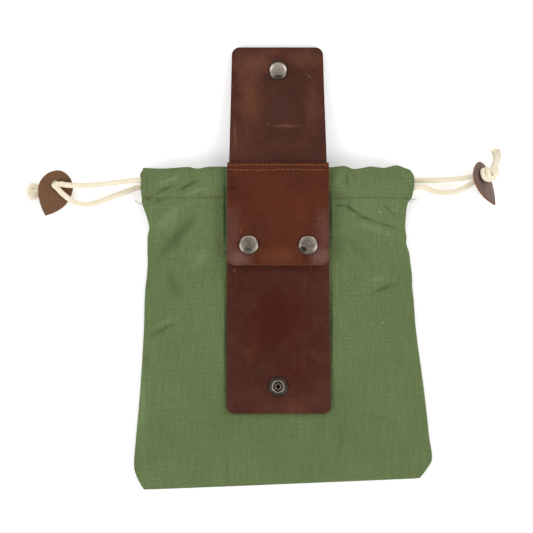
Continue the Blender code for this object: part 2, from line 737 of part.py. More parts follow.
def knot(side):
    """The drawstring's knot on its toggle, its two ends through the hole and its frayed tail."""
    frame = toggle_frame(side)
    name = f"{side}_knot"
    face, half_sizes, shift = (TOGGLES[side][key] for key in ("grain_up", "knot", "knot_shift"))
    depth = face * (TOGGLE_LEATHER / 2 + GAP + half_sizes[2])
    lump = ball(name, (0, shift, depth), half_sizes)
    made = add_object(name, lump, POUCH, CORD_FINISH)
    made.matrix_world = frame
    low, high = sorted((-face * (TOGGLE_LEATHER / 2 + GAP + NECK_REACH), depth))
    neck = add_cutter(f"{side}_neck", cylinder_mesh(f"{side}_neck", NECK_RADIUS, low, high))
    neck.matrix_world = frame
    fuse(made, neck)
    centre = frame @ (Vector((0, shift, depth)) * MM) / MM
    locks = LOCKS[side]
    middle_heading = math.radians(sum(row[0] for row in locks) / len(locks))
    beside = Vector((-math.sin(middle_heading), math.cos(middle_heading), 0))
    for number, (heading, length, sideways, root_radius, tip_radius, tip_z) in enumerate(locks, start=1):
        ahead = Vector((math.cos(math.radians(heading)), math.sin(math.radians(heading)), 0))
        start = centre + beside * sideways
        root = start + ahead * LOCK_START - Vector((0, 0, LOCK_DROP))
        tip = Vector((*(start + ahead * length).xy, tip_z))
        lock_name = f"{side}_lock_{number}"
        fuse(made, add_cutter(lock_name, lock(lock_name, root, tip, root_radius, tip_radius)))


def clear_scene():
    for old in list(bpy.data.objects):
        bpy.data.objects.remove(old, do_unlink=True)


def new_collection(name):
    made = bpy.data.collections.new(name)
    bpy.context.scene.collection.children.link(made)
    return made


clear_scene()
POUCH = new_collection("drawstring_belt_pouch")
CUTTERS = new_collection("cutters")
CANVAS_FINISH = material("olive canvas", (0.140, 0.185, 0.075), 0.85)
LEATHER_FINISH = material("pull-up leather", (0.085, 0.030, 0.022), 0.50)
LOOP_FINISH = material("pull-up leather, belt loop", (0.103, 0.031, 0.017), 0.48)
TOGGLE_FINISH = material("leather offcut", (0.130, 0.065, 0.035), 0.70)
METAL_FINISH = material("gunmetal plate", (0.300, 0.285, 0.260), 0.28, 1.0)
CORD_FINISH = material("cotton braid", (0.900, 0.830, 0.660), 0.80)

leather_and_snaps(back_panel())
front_panel()
cord_run("left", far="right")
cord_run("right", far="left")
for strand_name, strand_points in STRANDS.items():
    cord_tube(strand_name, smooth_route(strand_points, STEP_ALONG_STRAND))
for toggle_side in TOGGLES:
    toggle(toggle_side)
    knot(toggle_side)
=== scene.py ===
"""Looks of a canvas drawstring belt pouch lying with its leather side up on a white table that glows faintly
with painted light.

The canvas bag, the leather strip and belt loop, the snaps, the braided drawstrings and their leather
toggles are each a class. Sizes are millimetres in the maker's own frame and become metres in a mesh.
"""

import logging
import math
import random
from contextlib import contextmanager
from dataclasses import dataclass, field
from enum import Enum
from typing import Callable, Iterator, Sequence

import bpy
import numpy as np
from mathutils import Matrix, Vector


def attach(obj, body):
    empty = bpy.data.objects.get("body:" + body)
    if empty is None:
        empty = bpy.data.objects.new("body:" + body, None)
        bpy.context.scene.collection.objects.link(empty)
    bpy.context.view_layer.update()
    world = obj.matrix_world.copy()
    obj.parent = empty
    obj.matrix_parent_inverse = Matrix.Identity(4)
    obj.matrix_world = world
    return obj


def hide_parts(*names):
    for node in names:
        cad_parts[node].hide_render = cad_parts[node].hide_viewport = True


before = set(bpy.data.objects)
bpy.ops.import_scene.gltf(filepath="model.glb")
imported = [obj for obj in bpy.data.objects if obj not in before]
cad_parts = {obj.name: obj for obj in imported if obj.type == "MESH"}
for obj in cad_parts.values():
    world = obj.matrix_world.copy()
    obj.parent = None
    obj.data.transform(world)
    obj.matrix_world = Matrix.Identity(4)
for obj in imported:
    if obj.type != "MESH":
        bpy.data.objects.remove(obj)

LOG = logging.getLogger("pouch")
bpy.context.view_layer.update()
MM = 0.001
BODY = "root"

Points = np.ndarray
Table = Sequence[Sequence[float]]


class Side(Enum):
    """Which end of the bag's mouth a drawstring comes out of."""

    LEFT = "left"
    RIGHT = "right"

    @property
    def toward(self) -> int:
        """The direction of that end along X."""
        return -1 if self is Side.LEFT else 1


# Curves and small shape functions


def through(table: Table, at: Points, column: int = 1) -> Points:
    """Reads a smooth curve through a table's rows.

    Args:
        table: rows whose first value is the place along the curve, rising.
        at: places to read, held inside the table.
        column: which value of the rows the curve follows.

    Returns:
        The curve's values, by cubic pieces whose slopes come from the neighbouring rows.
    """
    keys = np.array([row[0] for row in table], float)
    values = np.array([row[column] for row in table], float)
    last = len(keys) - 1
    before, after = np.maximum(np.arange(last + 1) - 1, 0), np.minimum(np.arange(last + 1) + 1, last)
    slopes = (values[after] - values[before]) / (keys[after] - keys[before])
    at = np.clip(np.asarray(at, float), keys[0], keys[-1])
    i = np.clip(np.searchsorted(keys, at, side="right") - 1, 0, last - 1)
    span = keys[i + 1] - keys[i]
    s = (at - keys[i]) / span
    return (
        values[i] * (1 + 2 * s) * (1 - s) ** 2
        + slopes[i] * span * s * (1 - s) ** 2
        + values[i + 1] * s * s * (3 - 2 * s)
        - slopes[i + 1] * span * s * s * (1 - s)
    )


def ease(low: Points | float, high: float, at: Points) -> Points:
    """Gives 0 below low, 1 above high and a smooth rise between; low may differ from place to place."""
    s = np.clip((np.asarray(at, float) - low) / (high - low), 0.0, 1.0)
    return s * s * (3 - 2 * s)


def smooth_route(points: Sequence[Sequence[float]], step: float) -> Points:
    """Spreads points about step apart on a smooth curve through a route's own points.

    Args:
        points: the route, each x, y, z.
        step: distance between the new points.

    Returns:
        An array of x, y, z rows from the first point to the last.
    """
    spans = np.linalg.norm(np.diff(np.array(points, float), axis=0), axis=1)
    rows = [(at, *point) for at, point in zip(np.concatenate([[0.0], np.cumsum(spans)]), points)]
    count = max(2, round(rows[-1][0] / step))
    at = np.linspace(0.0, rows[-1][0], count + 1)
    return np.stack([through(rows, at, axis) for axis in (1, 2, 3)], axis=1)


# Mesh helpers


def mesh_object(name: str, points: Points, faces: Sequence, finish: bpy.types.Material) -> bpy.types.Object:
    """Makes an object from points in millimetres and faces as rows of point numbers.

    Args:
        name: the piece's name.
        points: x, y, z rows.
        faces: rows of point numbers, counter-clockwise seen from outside.
        finish: the material.

    Returns:
        The new object, linked to the scene and shaded smooth.
    """
    mesh = bpy.data.meshes.new(name)
    faces = [tuple(int(k) for k in face) for face in faces]
    mesh.from_pydata((np.asarray(points) * MM).tolist(), [], faces)
    mesh.shade_smooth()
    made = bpy.data.objects.new(name, mesh)
    bpy.context.scene.collection.objects.link(made)
    mesh.materials.append(finish)
    return made


def set_uv(piece: bpy.types.Object, uv: Points) -> None:
    """Gives a mesh a UV map in metres of cloth from a pair in millimetres for each of its points."""
    layer = piece.data.uv_layers.new(name="cloth")
    corners = np.empty(len(piece.data.loops), np.int32)
    piece.data.loops.foreach_get("vertex_index", corners)
    layer.data.foreach_set("uv", (np.asarray(uv, np.float32) * MM)[corners].ravel())


def set_value(piece: bpy.types.Object, name: str, values: Points) -> None:
    """Stores one number for each point of a mesh under a name that a material reads."""
    attribute = piece.data.attributes.new(name, "FLOAT", "POINT")
    attribute.data.foreach_set("value", np.asarray(values, np.float32).ravel())


def deselect_all() -> None:
    """Leaves nothing selected and nothing in edit mode."""
    if bpy.context.mode != "OBJECT":
        bpy.ops.object.mode_set(mode="OBJECT")
    bpy.ops.object.select_all(action="DESELECT")


def pick(piece: bpy.types.Object) -> None:
    """Makes a piece the only selected and active one."""
    deselect_all()
    piece.select_set(True)
    bpy.context.view_layer.objects.active = piece


@contextmanager
def editing(piece: bpy.types.Object) -> Iterator[None]:
    """Opens a piece in edit mode with all of it selected, and closes it again."""
    pick(piece)
    bpy.ops.object.mode_set(mode="EDIT")
    bpy.ops.mesh.select_all(action="SELECT")
    yield
    bpy.ops.object.mode_set(mode="OBJECT")


def apply_modifier(piece: bpy.types.Object, kind: str, **settings: object) -> None:
    """Adds a modifier with its settings to a piece and applies it at once."""
    modifier = piece.modifiers.new(kind, kind)
    for key, value in settings.items():
        setattr(modifier, key, value)
    pick(piece)
    bpy.ops.object.modifier_apply(modifier=modifier.name)


def thicken(piece: bpy.types.Object, thickness: float, even: bool = True, rim: int = 0) -> None:
    """Gives an open surface its wall, half to each side, whose cut edge may take the next material."""
    apply_modifier(
        piece, "SOLIDIFY", thickness=thickness * MM, offset=0.0, use_even_offset=even,
        material_offset_rim=rim,
    )


def round_edges(piece: bpy.types.Object, width: float, segments: int, material: int = -1) -> None:
    """Rounds a piece's sharp edges by width, in its own or another of its materials."""
    apply_modifier(
        piece, "BEVEL", width=width * MM, segments=segments, limit_method="ANGLE",
        angle_limit=math.radians(50.0), material=material,
    )


def dress(piece: bpy.types.Object, slot: str | None, *nodes: str) -> bpy.types.Object:
    """Makes a piece ride on the pouch and stand for CAD nodes, whose plain solids it hides, and logs its
    faces.
    """
    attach(piece, BODY)
    if nodes:
        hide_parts(*nodes)
    LOG.info("%s: %d faces", piece.name, len(piece.data.polygons))
    return piece


def tube_mesh(route: Points, radii: Points, sides: int) -> tuple[Points, list]:
    """Points and faces of a plain closed tube with a radius at each point of its route."""
    tangent = np.gradient(route, axis=0)
    tangent /= np.linalg.norm(tangent, axis=1, keepdims=True)
    normal = carried_normals(tangent)
    beside = np.cross(tangent, normal)
    angle = np.linspace(0, 2 * math.pi, sides, endpoint=False)
    ring = normal[:, None] * np.cos(angle)[None, :, None] + beside[:, None] * np.sin(angle)[None, :, None]
    points = (route[:, None] + ring * np.asarray(radii)[:, None, None]).reshape(-1, 3)
    last = len(points)
    caps = [tuple(range(sides))[::-1], tuple(range(last - sides, last))]
    return points, [tuple(row) for row in grid_faces(len(route), sides, wrap=True)] + caps


def gathered(name: str, meshes: Sequence[tuple[Points, list]],
             finish: bpy.types.Material) -> bpy.types.Object:
    """One object of many small meshes, such as stitches or fibres."""
    points, faces, start = [], [], 0
    for more_points, more_faces in meshes:
        points.append(more_points)
        faces += [tuple(k + start for k in face) for face in more_faces]
        start += len(more_points)
    return mesh_object(name, np.concatenate(points), faces, finish)


def top_of(piece: bpy.types.Object, x: float, y: float) -> float:
    """Height in millimetres of a piece's upper face over a plan position."""
    hit, place, _, _ = piece.ray_cast(Vector((x * MM, y * MM, 1.0)), Vector((0, 0, -1)))
    if not hit:
        raise ValueError(f"{piece.name} has nothing at {x}, {y}")
    return place.z / MM


def joined(name: str, pieces: Sequence[bpy.types.Object]) -> bpy.types.Object:
    """Joins pieces into one object of that name, with every part's place in the mesh."""
    deselect_all()
    for piece in pieces:
        piece.select_set(True)
    bpy.context.view_layer.objects.active = pieces[0]
    bpy.ops.object.transform_apply(location=True, rotation=True, scale=True)
    if len(pieces) > 1:
        bpy.ops.object.join()
    pieces[0].name = pieces[0].data.name = name
    return pieces[0]


def grid_faces(rows: int, columns: int, wrap: bool = False) -> Points:
    """Numbers the quads of a grid of points laid row by row, closed across its columns if wrap is set."""
    row, column = np.meshgrid(np.arange(rows - 1), np.arange(columns - (0 if wrap else 1)), indexing="ij")
    right = (column + 1) % columns
    corners = (row * columns + column, row * columns + right, (row + 1) * columns + right,
               (row + 1) * columns + column)
    return np.stack([corner.ravel() for corner in corners], axis=1)


# Materials


def linear(colour: str) -> tuple[float, float, float, float]:
    """Turns an sRGB hex colour such as #68784e to linear red, green, blue and alpha."""
    channels = [int(colour[k:k + 2], 16) / 255 for k in (1, 3, 5)]
    turned = [c / 12.92 if c <= 0.04045 else ((c + 0.055) / 1.055) ** 2.4 for c in channels]
    return (*turned, 1.0)


def per_mm(size: float) -> float:
    """The scale that gives a texture's cell that size in millimetres on metre coordinates."""
    return 1 / (size * MM)


@dataclass
class Graph:
    """A node tree that nodes are added to."""

    tree: bpy.types.NodeTree

    def add(self, kind: str, inputs: dict | None = None, out: str | int | None = None,
            **settings: object) -> bpy.types.NodeSocket:
        """Adds a node with its settings and links.

        Args:
            kind: the node's type name without ShaderNode.
            inputs: values or sockets for its inputs, by name or number.
            out: the output wanted, by name or number, or None for the first enabled one.
            settings: its other properties.

        Returns:
            The wanted output.
        """
        node = self.tree.nodes.new("ShaderNode" + kind)
        for key, value in settings.items():
            setattr(node, key, value)
        for key, value in (inputs or {}).items():
            self.set(node.inputs[key], value)
        if out is None:
            return next(output for output in node.outputs if output.enabled)
        return node.outputs[out]

    def set(self, socket: bpy.types.NodeSocket, value: object) -> None:
        """Links a socket to another one, or sets its value."""
        if isinstance(value, bpy.types.NodeSocket):
            self.tree.links.new(value, socket)
        else:
            socket.default_value = value


class Shading(Graph):
    """A material under construction, with its principled shader."""

    def __init__(self, name: str) -> None:
        """Makes the material with its principled shader."""
        self.material = bpy.data.materials.new(name)
        self.material.use_nodes = True
        super().__init__(self.material.node_tree)
        self.shader = self.tree.nodes["Principled BSDF"]

    def finish(self, **inputs: object) -> bpy.types.Material:
        """Sets the shader's inputs, given with _ for spaces, and returns the material."""
        for key, value in inputs.items():
            self.set(self.shader.inputs[key.replace("_", " ")], value)
        return self.material

    def speckle(self, place: bpy.types.NodeSocket, size: float, span: tuple[float, float] = (0.3, 0.7),
                to: tuple[float, float] = (0.0, 1.0), rough: float = 0.5,
                stretch: tuple[float, float, float] = (1.0, 1.0, 1.0)) -> bpy.types.NodeSocket:
        """Cloudy spots of a real size, their strength held between two ends.

        Args:
            place: coordinates in metres.
            size: the spots' size in millimetres.
            span: the noise's values that become the two ends.
            to: the two ends.
            rough: how broken the spots are.
            stretch: multiplies the coordinates along each axis.

        Returns:
            A value for each place.
        """
        own = self.add("Mapping", {"Vector": place, "Scale": stretch})
        noise = self.add("TexNoise", {
            "Vector": own, "Scale": per_mm(size), "Detail": 4.0, "Roughness": rough})
        ends = {"Value": noise, "From Min": span[0], "From Max": span[1], "To Min": to[0], "To Max": to[1]}
        return self.add("MapRange", ends, interpolation_type="SMOOTHSTEP")

    def painted(self, place: bpy.types.NodeSocket, base: object, patches: Table, size: float,
                soft: float = 0.65, ragged: float = 0.35) -> object:
        """Lays ovals with uneven edges over a colour.

        Args:
            place: object coordinates in metres.
            base: the colour under them.
            patches: rows of x, y, half x, half y in millimetres, turn in degrees, strength and colour.
            size: the size in millimetres of the unevenness.
            soft: share of an oval's reach over which it fades out.
            ragged: how uneven its edge is.

        Returns:
            The painted colour.
        """
        uneven = self.speckle(place, size, (0.25, 0.75), (1 - ragged, 1 + ragged), 0.65)
        for x, y, half_x, half_y, turn, strength, colour in patches:
            own = self.add("Mapping", {
                "Vector": place, "Location": (x * MM, y * MM, 0.0), "Rotation": (0, 0, math.radians(turn)),
                "Scale": (half_x * MM, half_y * MM, 1.0)}, vector_type="TEXTURE")
            flat = self.add("VectorMath", {0: own, 1: (1.0, 1.0, 0.0)}, operation="MULTIPLY")
            reach = self.add("VectorMath", {0: flat}, "Value", operation="LENGTH")
            edge = self.add("Math", {0: reach, 1: uneven}, operation="MULTIPLY")
            ends = {"Value": edge, "From Min": 1 - soft, "From Max": 1.0, "To Min": strength, "To Max": 0.0}
            oval = self.add("MapRange", ends, interpolation_type="SMOOTHSTEP")
            base = self.add("Mix", {0: oval, 6: base, 7: linear(colour)}, 2, data_type="RGBA")
        return base


@dataclass(frozen=True)
class DuckCanvas:
    """Olive green cotton duck: matt, plain woven of thick uneven yarns that catch the light one by one."""

    colour: str = "#5f6f45"
    dark: str = "#49562f"
    light: str = "#76865a"
    yarn: float = 0.7
    # x, y, half x, half y, turn, strength, colour: painted shade along creases and beside the leather,
    # painted light on the ridges between creases and over the upper body, a darker band towards the bottom
    # and a paler one along the left seam
    shade_light_and_tone_marks: Table = ()

    def material(self) -> bpy.types.Material:
        """Builds the canvas on its UV map, which is in metres of cloth, with its painted shade and light laid
        out in plan.
        """
        on = Shading("olive cotton duck")
        cloth = on.add("TexCoord", out="UV")
        across = on.add("SeparateXYZ", {"Vector": cloth}, "X")
        along = on.add("SeparateXYZ", {"Vector": cloth}, "Y")
        turn = math.pi * per_mm(self.yarn)
        warp, weft = (
            on.add("Math", {0: on.add("Math", {0: way, 1: turn}, operation="MULTIPLY")}, operation="SINE")
            for way in (across, along)
        )
        over = on.add("Math", {0: warp, 1: weft}, operation="MULTIPLY")
        warp_size = on.add("Math", {0: warp}, operation="ABSOLUTE")
        warp_top = on.add("Math", {0: warp_size, 1: over}, operation="ADD")
        weft_size = on.add("Math", {0: weft}, operation="ABSOLUTE")
        weft_top = on.add("Math", {0: weft_size, 1: over}, operation="SUBTRACT")
        weave = on.add("Math", {0: warp_top, 1: weft_top}, operation="MAXIMUM")
        mottle = on.speckle(cloth, 1.1, (0.34, 0.66), rough=0.7)
        base = on.add("Mix", {0: mottle, 6: linear(self.dark), 7: linear(self.light)}, 2, data_type="RGBA")
        base = on.add("Mix", {0: 0.58, 6: base, 7: linear(self.colour)}, 2, data_type="RGBA")
        # painted shade and light over the creases, folds and beside the leather, laid out in plan
        base = on.painted(on.add("TexCoord", out="Object"), base, self.shade_light_and_tone_marks, 4.0, 0.95)
        tones = (
            on.speckle(cloth, 1.4, to=(0.93, 1.07), stretch=(1.0, 0.05, 1.0)),
            on.speckle(cloth, 1.4, to=(0.95, 1.04), stretch=(0.06, 1.0, 1.0)),
            on.speckle(cloth, 1.5, to=(0.93, 1.07)),
            on.speckle(cloth, 38.0, to=(0.96, 1.04)),
            # painted shade in the weave's hollows, darker where the yarns dip
            on.add("MapRange", {
                "Value": weave, "From Min": 0.3, "From Max": 1.6, "To Min": 0.92, "To Max": 1.03}),
        )
        for tone in tones:
            base = on.add("Mix", {0: 1.0, 6: base, 7: tone}, 2, data_type="RGBA", blend_type="MULTIPLY")
        lumps = on.add("Bump", {"Height": on.speckle(cloth, 2.2), "Distance": 0.08 * MM})
        normal = on.add("Bump", {"Height": weave, "Distance": 0.06 * MM, "Normal": lumps})
        return on.finish(Base_Color=base, Roughness=0.92, Specular_IOR_Level=0.15, Normal=normal,
                         Sheen_Weight=0.08, Sheen_Roughness=0.5)


@dataclass(frozen=True)
class PullUpLeather:
    """Waxed, oil-tanned cowhide: dark and satin, lighter where it was bent, pressed or scraped, and with
    painted sheen in places.
    """

    name: str
    colour: str
    dark: str
    light: str
    rough: float = 0.5
    specular: float = 0.08
    # x, y, half x, half y, turn, strength, colour: broad changes of colour, some of them painted sheen
    patches: Table = ()
    # the same for scratches, scuffs and specks
    scratches: Table = ()

    def material(self) -> bpy.types.Material:
        """Builds the grain side."""
        on = Shading(self.name)
        place = on.add("TexCoord", out="Object")
        clouds = on.speckle(place, 34.0, (0.35, 0.68), rough=0.6)
        base = on.add("Mix", {0: clouds, 6: linear(self.dark), 7: linear(self.colour)}, 2, data_type="RGBA")
        warm = on.speckle(place, 17.0, (0.5, 0.74), (0.0, 0.6), 0.6, (1.0, 0.45, 1.0))
        base = on.add("Mix", {0: warm, 6: base, 7: linear(self.light)}, 2, data_type="RGBA")
        base = on.painted(place, base, self.patches, 9.0, 0.95)
        creases = on.speckle(place, 2.6, (0.25, 0.75), (0.91, 1.09), 0.65, (2.0, 0.7, 1.0))
        fine = on.speckle(place, 1.1, (0.25, 0.75), (0.93, 1.07), 0.7)
        for tone in (creases, fine):
            base = on.add("Mix", {0: 1.0, 6: base, 7: tone}, 2, data_type="RGBA", blend_type="MULTIPLY")
        base = on.painted(place, base, self.scratches, 1.5)
        pores = on.add("TexVoronoi", {"Vector": place, "Scale": per_mm(0.75), "Randomness": 1.0})
        rough = on.add("MapRange", {
            "Value": clouds, "To Min": self.rough - 0.06, "To Max": self.rough + 0.08})
        under = on.add("Bump", {"Height": creases, "Distance": 0.35 * MM})
        normal = on.add("Bump", {"Height": pores, "Distance": 0.05 * MM, "Normal": under})
        return on.finish(Base_Color=base, Roughness=rough, Normal=normal, Specular_IOR_Level=self.specular)


@dataclass(frozen=True)
class CutEdge:
    """The raw edge of the same hide, undyed fibres stained orange brown."""

    name: str = "cut leather edge"
    colour: str = "#6a3a22"
    dark: str = "#351d16"
    # x, y, half x, half y, turn, strength, colour: where the edge is paler
    patches: Table = ()

    def material(self) -> bpy.types.Material:
        """Builds the cut edge, with its layers of fibre."""
        on = Shading(self.name)
        place = on.add("TexCoord", out="Object")
        fibres = on.speckle(place, 1.4, (0.35, 0.65), stretch=(1.0, 1.0, 4.0))
        base = on.add("Mix", {0: fibres, 6: linear(self.dark), 7: linear(self.colour)}, 2, data_type="RGBA")
        base = on.painted(place, base, self.patches, 1.8, 0.3)
        normal = on.add("Bump", {"Height": fibres, "Distance": 0.15 * MM})
        return on.finish(Base_Color=base, Roughness=0.75, Specular_IOR_Level=0.2, Normal=normal)


@dataclass(frozen=True)
class FleshSide:
    """The matt flesh side of an offcut, brushed fibres of an even warm brown."""

    colour: str = "#7a583f"
    dark: str = "#624632"

    def material(self) -> bpy.types.Material:
        """Builds the flesh side."""
        on = Shading("leather flesh side")
        place = on.add("TexCoord", out="Object")
        nap = on.speckle(place, 1.1, (0.3, 0.72), rough=0.7)
        clouds = on.speckle(place, 7.0, (0.4, 0.75), (0.0, 0.35))
        base = on.add("Mix", {0: nap, 6: linear(self.dark), 7: linear(self.colour)}, 2, data_type="RGBA")
        base = on.add("Mix", {0: clouds, 6: base, 7: linear(self.dark)}, 2, data_type="RGBA")
        normal = on.add("Bump", {"Height": nap, "Distance": 0.12 * MM})
        return on.finish(Base_Color=base, Roughness=0.88, Specular_IOR_Level=0.15, Normal=normal)


@dataclass(frozen=True)
class GunmetalPlate:
    """Stamped brass with a grey gunmetal plate, satin, tarnished dark in places, and with painted reflections
    and shade on the caps.
    """

    name: str = "gunmetal plated brass"
    colour: str = "#b4a99a"
    smudge: str = "#9a8f82"
    rough: float = 0.3
    # x, y, half x, half y, turn, strength, colour: tarnish, and on the caps painted shade round their rims
    # and painted reflections darker over their lower parts
    tarnish_and_painted_reflections: Table = ()

    def material(self) -> bpy.types.Material:
        """Builds the plated metal."""
        on = Shading(self.name)
        place = on.add("TexCoord", out="Object")
        patina = on.speckle(place, 4.5, (0.42, 0.68), rough=0.6)
        fine = on.speckle(place, 0.8, stretch=(1.0, 6.0, 1.0))
        base = on.add("Mix", {0: patina, 6: linear(self.colour), 7: linear(self.smudge)}, 2, data_type="RGBA")
        base = on.painted(place, base, self.tarnish_and_painted_reflections, 2.4, 0.2, 0.03)
        rough = on.add("MapRange", {
            "Value": patina, "To Min": self.rough - 0.04, "To Max": self.rough + 0.08})
        normal = on.add("Bump", {"Height": fine, "Distance": 0.003 * MM})
        return on.finish(Base_Color=base, Metallic=1.0, Roughness=rough, Normal=normal)


@dataclass(frozen=True)
class CottonBraid:
    """Unbleached cotton cord, braided of soft yarns: cream and matt, with painted shade in its grooves."""

    colour: str = "#fdf4de"
    # painted shade in the braid's grooves, also used for its stains
    groove: str = "#cbad7c"

    def material(self) -> bpy.types.Material:
        """Builds the cord from its groove attribute and fine fibres."""
        on = Shading("unbleached cotton braid")
        height = on.add("Attribute", out="Fac", attribute_name="braid")
        place = on.add("TexCoord", out="Object")
        crown = on.add("MapRange", {"Value": height, "From Min": 0.0, "From Max": 0.8})
        stain = on.speckle(place, 14.0, (0.5, 0.8), (0.0, 0.2))
        # the groove colour is painted shade in the braid's grooves and, through their low tones, on the
        # tails' yarns
        base = on.add("Mix", {0: crown, 6: linear(self.groove), 7: linear(self.colour)}, 2, data_type="RGBA")
        base = on.add("Mix", {0: stain, 6: base, 7: linear(self.groove)}, 2, data_type="RGBA")
        normal = on.add("Bump", {"Height": on.speckle(place, 0.5, rough=0.7), "Distance": 0.1 * MM})
        return on.finish(Base_Color=base, Roughness=0.95, Specular_IOR_Level=0.1, Normal=normal,
                         Sheen_Weight=0.08)


@dataclass(frozen=True)
class SewingThread:
    """Bonded polyester thread, round and faintly shiny."""

    name: str
    colour: str

    def material(self) -> bpy.types.Material:
        """Builds the thread."""
        on = Shading(self.name)
        twist = on.speckle(on.add("TexCoord", out="Object"), 0.4, to=(0.6, 1.0))
        base = on.add("Mix", {0: 1.0, 6: linear(self.colour), 7: twist}, 2, data_type="RGBA",
                      blend_type="MULTIPLY")
        normal = on.add("Bump", {"Height": twist, "Distance": 0.1 * MM})
        return on.finish(Base_Color=base, Roughness=0.6, Specular_IOR_Level=0.3, Normal=normal)


@dataclass(frozen=True)
class GlowingTable:
    """White acrylic photo table, matt and even, with a faint painted glow that keeps it white and washes out
    faint shadows on it.
    """

    colour: str = "#fafafa"
    # strength of the painted glow
    painted_glow: float = 0.26

    def material(self) -> bpy.types.Material:
        """Builds the table top."""
        on = Shading("white table top")
        # the emission is a painted glow that keeps the table white and washes out faint shadows on it
        return on.finish(Base_Color=linear(self.colour), Roughness=0.9, Specular_IOR_Level=0.1,
                         Emission_Color=linear(self.colour), Emission_Strength=self.painted_glow)


# The bag


@dataclass
class Bag:
    """The canvas bag: two sheets hemmed at the mouth into casings, lying flat on the table."""

    canvas: float = 1.0
    fold_radius: float = 1.3
    tunnel: float = 5.1
    hem_inset: float = 6.5
    hem_allowance: float = 2.4
    hollow_height: float = 8.5
    seam_gap: float = 0.5
    seam_lift: float = 1.5
    stitch_gap: float = 0.3
    column_step: float = 1.45
    row_step: float = 1.45
    # rough lengths that the steps divide: across the bag, up its body and over a casing
    width_run: float = 210.0
    body_run: float = 220.0
    casing_run: float = 26.0
    fold_steps: int = 6
    fold_clear: tuple[float, float] = (-46.0, 38.0)
    # share of the way up the body, left x, y, right x, y
    body_edges: Table = (
        (0.000, -104.6, -166.1, 102.8, -157.5), (0.045, -109.5, -157.1, 107.6, -151.0),
        (0.085, -111.75, -149.0, 111.75, -143.5), (0.170, -110.6, -131.0, 109.8, -127.5),
        (0.330, -107.3, -94.1, 105.8, -92.0), (0.550, -104.3, -46.1, 99.6, -45.5),
        (0.640, -103.7, -24.0, 98.0, -24.0), (0.700, -103.0, -13.1, 96.8, -13.1),
        (0.735, -102.0, -5.4, 96.7, -5.4), (0.775, -101.5, 3.2, 95.6, 3.2),
        (0.812, -101.6, 11.5, 94.6, 11.5), (0.842, -101.6, 18.2, 92.5, 18.2),
        (0.870, -101.4, 24.4, 92.5, 24.4), (0.898, -100.2, 30.5, 91.7, 30.5),
        (0.935, -102.0, 38.7, 92.0, 38.7), (0.968, -104.6, 46.0, 92.7, 46.0),
        (0.984, -105.8, 49.3, 93.6, 49.3), (1.000, -105.9, 52.9, 96.3, 52.9),
    )
    # share of the way from the stitch line to the fold, left x, y, right x, y
    casing_edges: Table = (
        (0.0, -105.9, 52.9, 96.3, 52.9), (0.4, -106.5, 61.5, 98.2, 61.5),
        (0.8, -105.9, 69.8, 97.9, 69.0), (1.0, -105.0, 74.0, 95.9, 73.2),
    )
    # the same for the front sheet, which shows past the back one's left end
    front_casing_edges: Table = (
        (0.0, -105.9, 52.9, 96.3, 52.9), (0.4, -106.7, 61.5, 98.2, 61.5), (0.75, -107.4, 68.7, 98.0, 68.0),
        (0.9, -107.2, 71.9, 97.1, 71.1), (1.0, -105.4, 74.0, 95.9, 73.2),
    )
    # x, how far the top fold stands above a straight line
    top_waves: Table = (
        (-106.0, -0.3), (-91.0, -0.8), (-80.5, -0.2), (-71.0, 0.4), (-64.0, -0.7), (-56.0, 0.6), (-44.0, 0.8),
        (0.0, 0.6), (36.0, 0.7), (46.0, 1.6), (52.5, -0.5), (59.0, 0.2), (65.5, 1.3), (72.0, 0.7),
        (76.0, 0.4), (85.5, 2.3), (92.0, 0.1), (98.0, -0.4),
    )
    # start x, y, end x, y, half width, height
    folds: Table = (
        (-97.0, 54.0, -87.0, 60.4, 2.6, -0.7), (-87.0, 60.4, -77.0, 63.0, 2.6, -0.6),
        (-83.0, 56.6, -74.0, 60.0, 2.8, -0.8), (-74.0, 60.0, -61.0, 66.4, 3.0, -0.9),
        (-94.0, 61.5, -74.0, 70.0, 3.5, 0.5), (-98.7, 49.2, -88.0, 52.4, 2.0, -0.7),
        (-97.0, 4.0, -64.0, 42.0, 6.0, -1.1), (-84.0, -5.0, -79.0, -20.0, 7.0, -0.8),
        (-100.0, -50.5, -80.0, -40.5, 3.0, -0.7),
        (-92.0, 30.0, -72.0, 46.0, 6.0, 0.8),
        (-72.0, 4.0, -52.0, 16.0, 7.0, 0.8), (-60.0, -20.0, -92.0, -64.0, 9.0, -0.6),
        (36.3, 47.6, 48.0, 46.6, 2.6, -1.0), (48.0, 46.6, 56.0, 40.4, 2.8, -1.2),
        (56.0, 40.4, 66.0, 36.2, 2.8, -1.2), (66.0, 36.2, 89.0, 28.9, 3.0, -0.9),
        (56.0, 34.0, 80.0, 25.0, 5.0, 0.8), (72.8, 49.2, 84.5, 38.4, 2.5, -0.7),
        (84.5, 38.4, 91.0, 37.0, 2.0, -0.6), (64.0, -19.0, 87.0, -10.5, 3.5, -0.8),
        (46.0, 26.0, 62.0, 10.0, 7.0, -0.5),
        (50.0, -30.0, 92.0, -60.0, 9.0, -0.6), (47.0, 73.0, 48.2, 59.0, 2.6, -0.8),
        (41.5, 72.0, 41.5, 58.0, 3.0, 0.5), (62.0, 68.0, 74.0, 62.0, 3.0, -0.4),
    )

    def mouth(self, u: Points) -> Points:
        """Clear height between the two casings, at u from -1 at the left end to 1 at the right."""
        return 2.0 + 2.6 * (1 - u**4)

    def casing_depth(self, c: Points) -> Points:
        """Distance between a casing's two middle surfaces, from the stitch line at 0 to the fold at 1."""
        at_end = np.where(c < 0.5, self.canvas + self.stitch_gap, 2 * self.fold_radius)
        return at_end + (self.tunnel + self.canvas - at_end) * (1 - np.abs(2 * c - 1) ** 3)

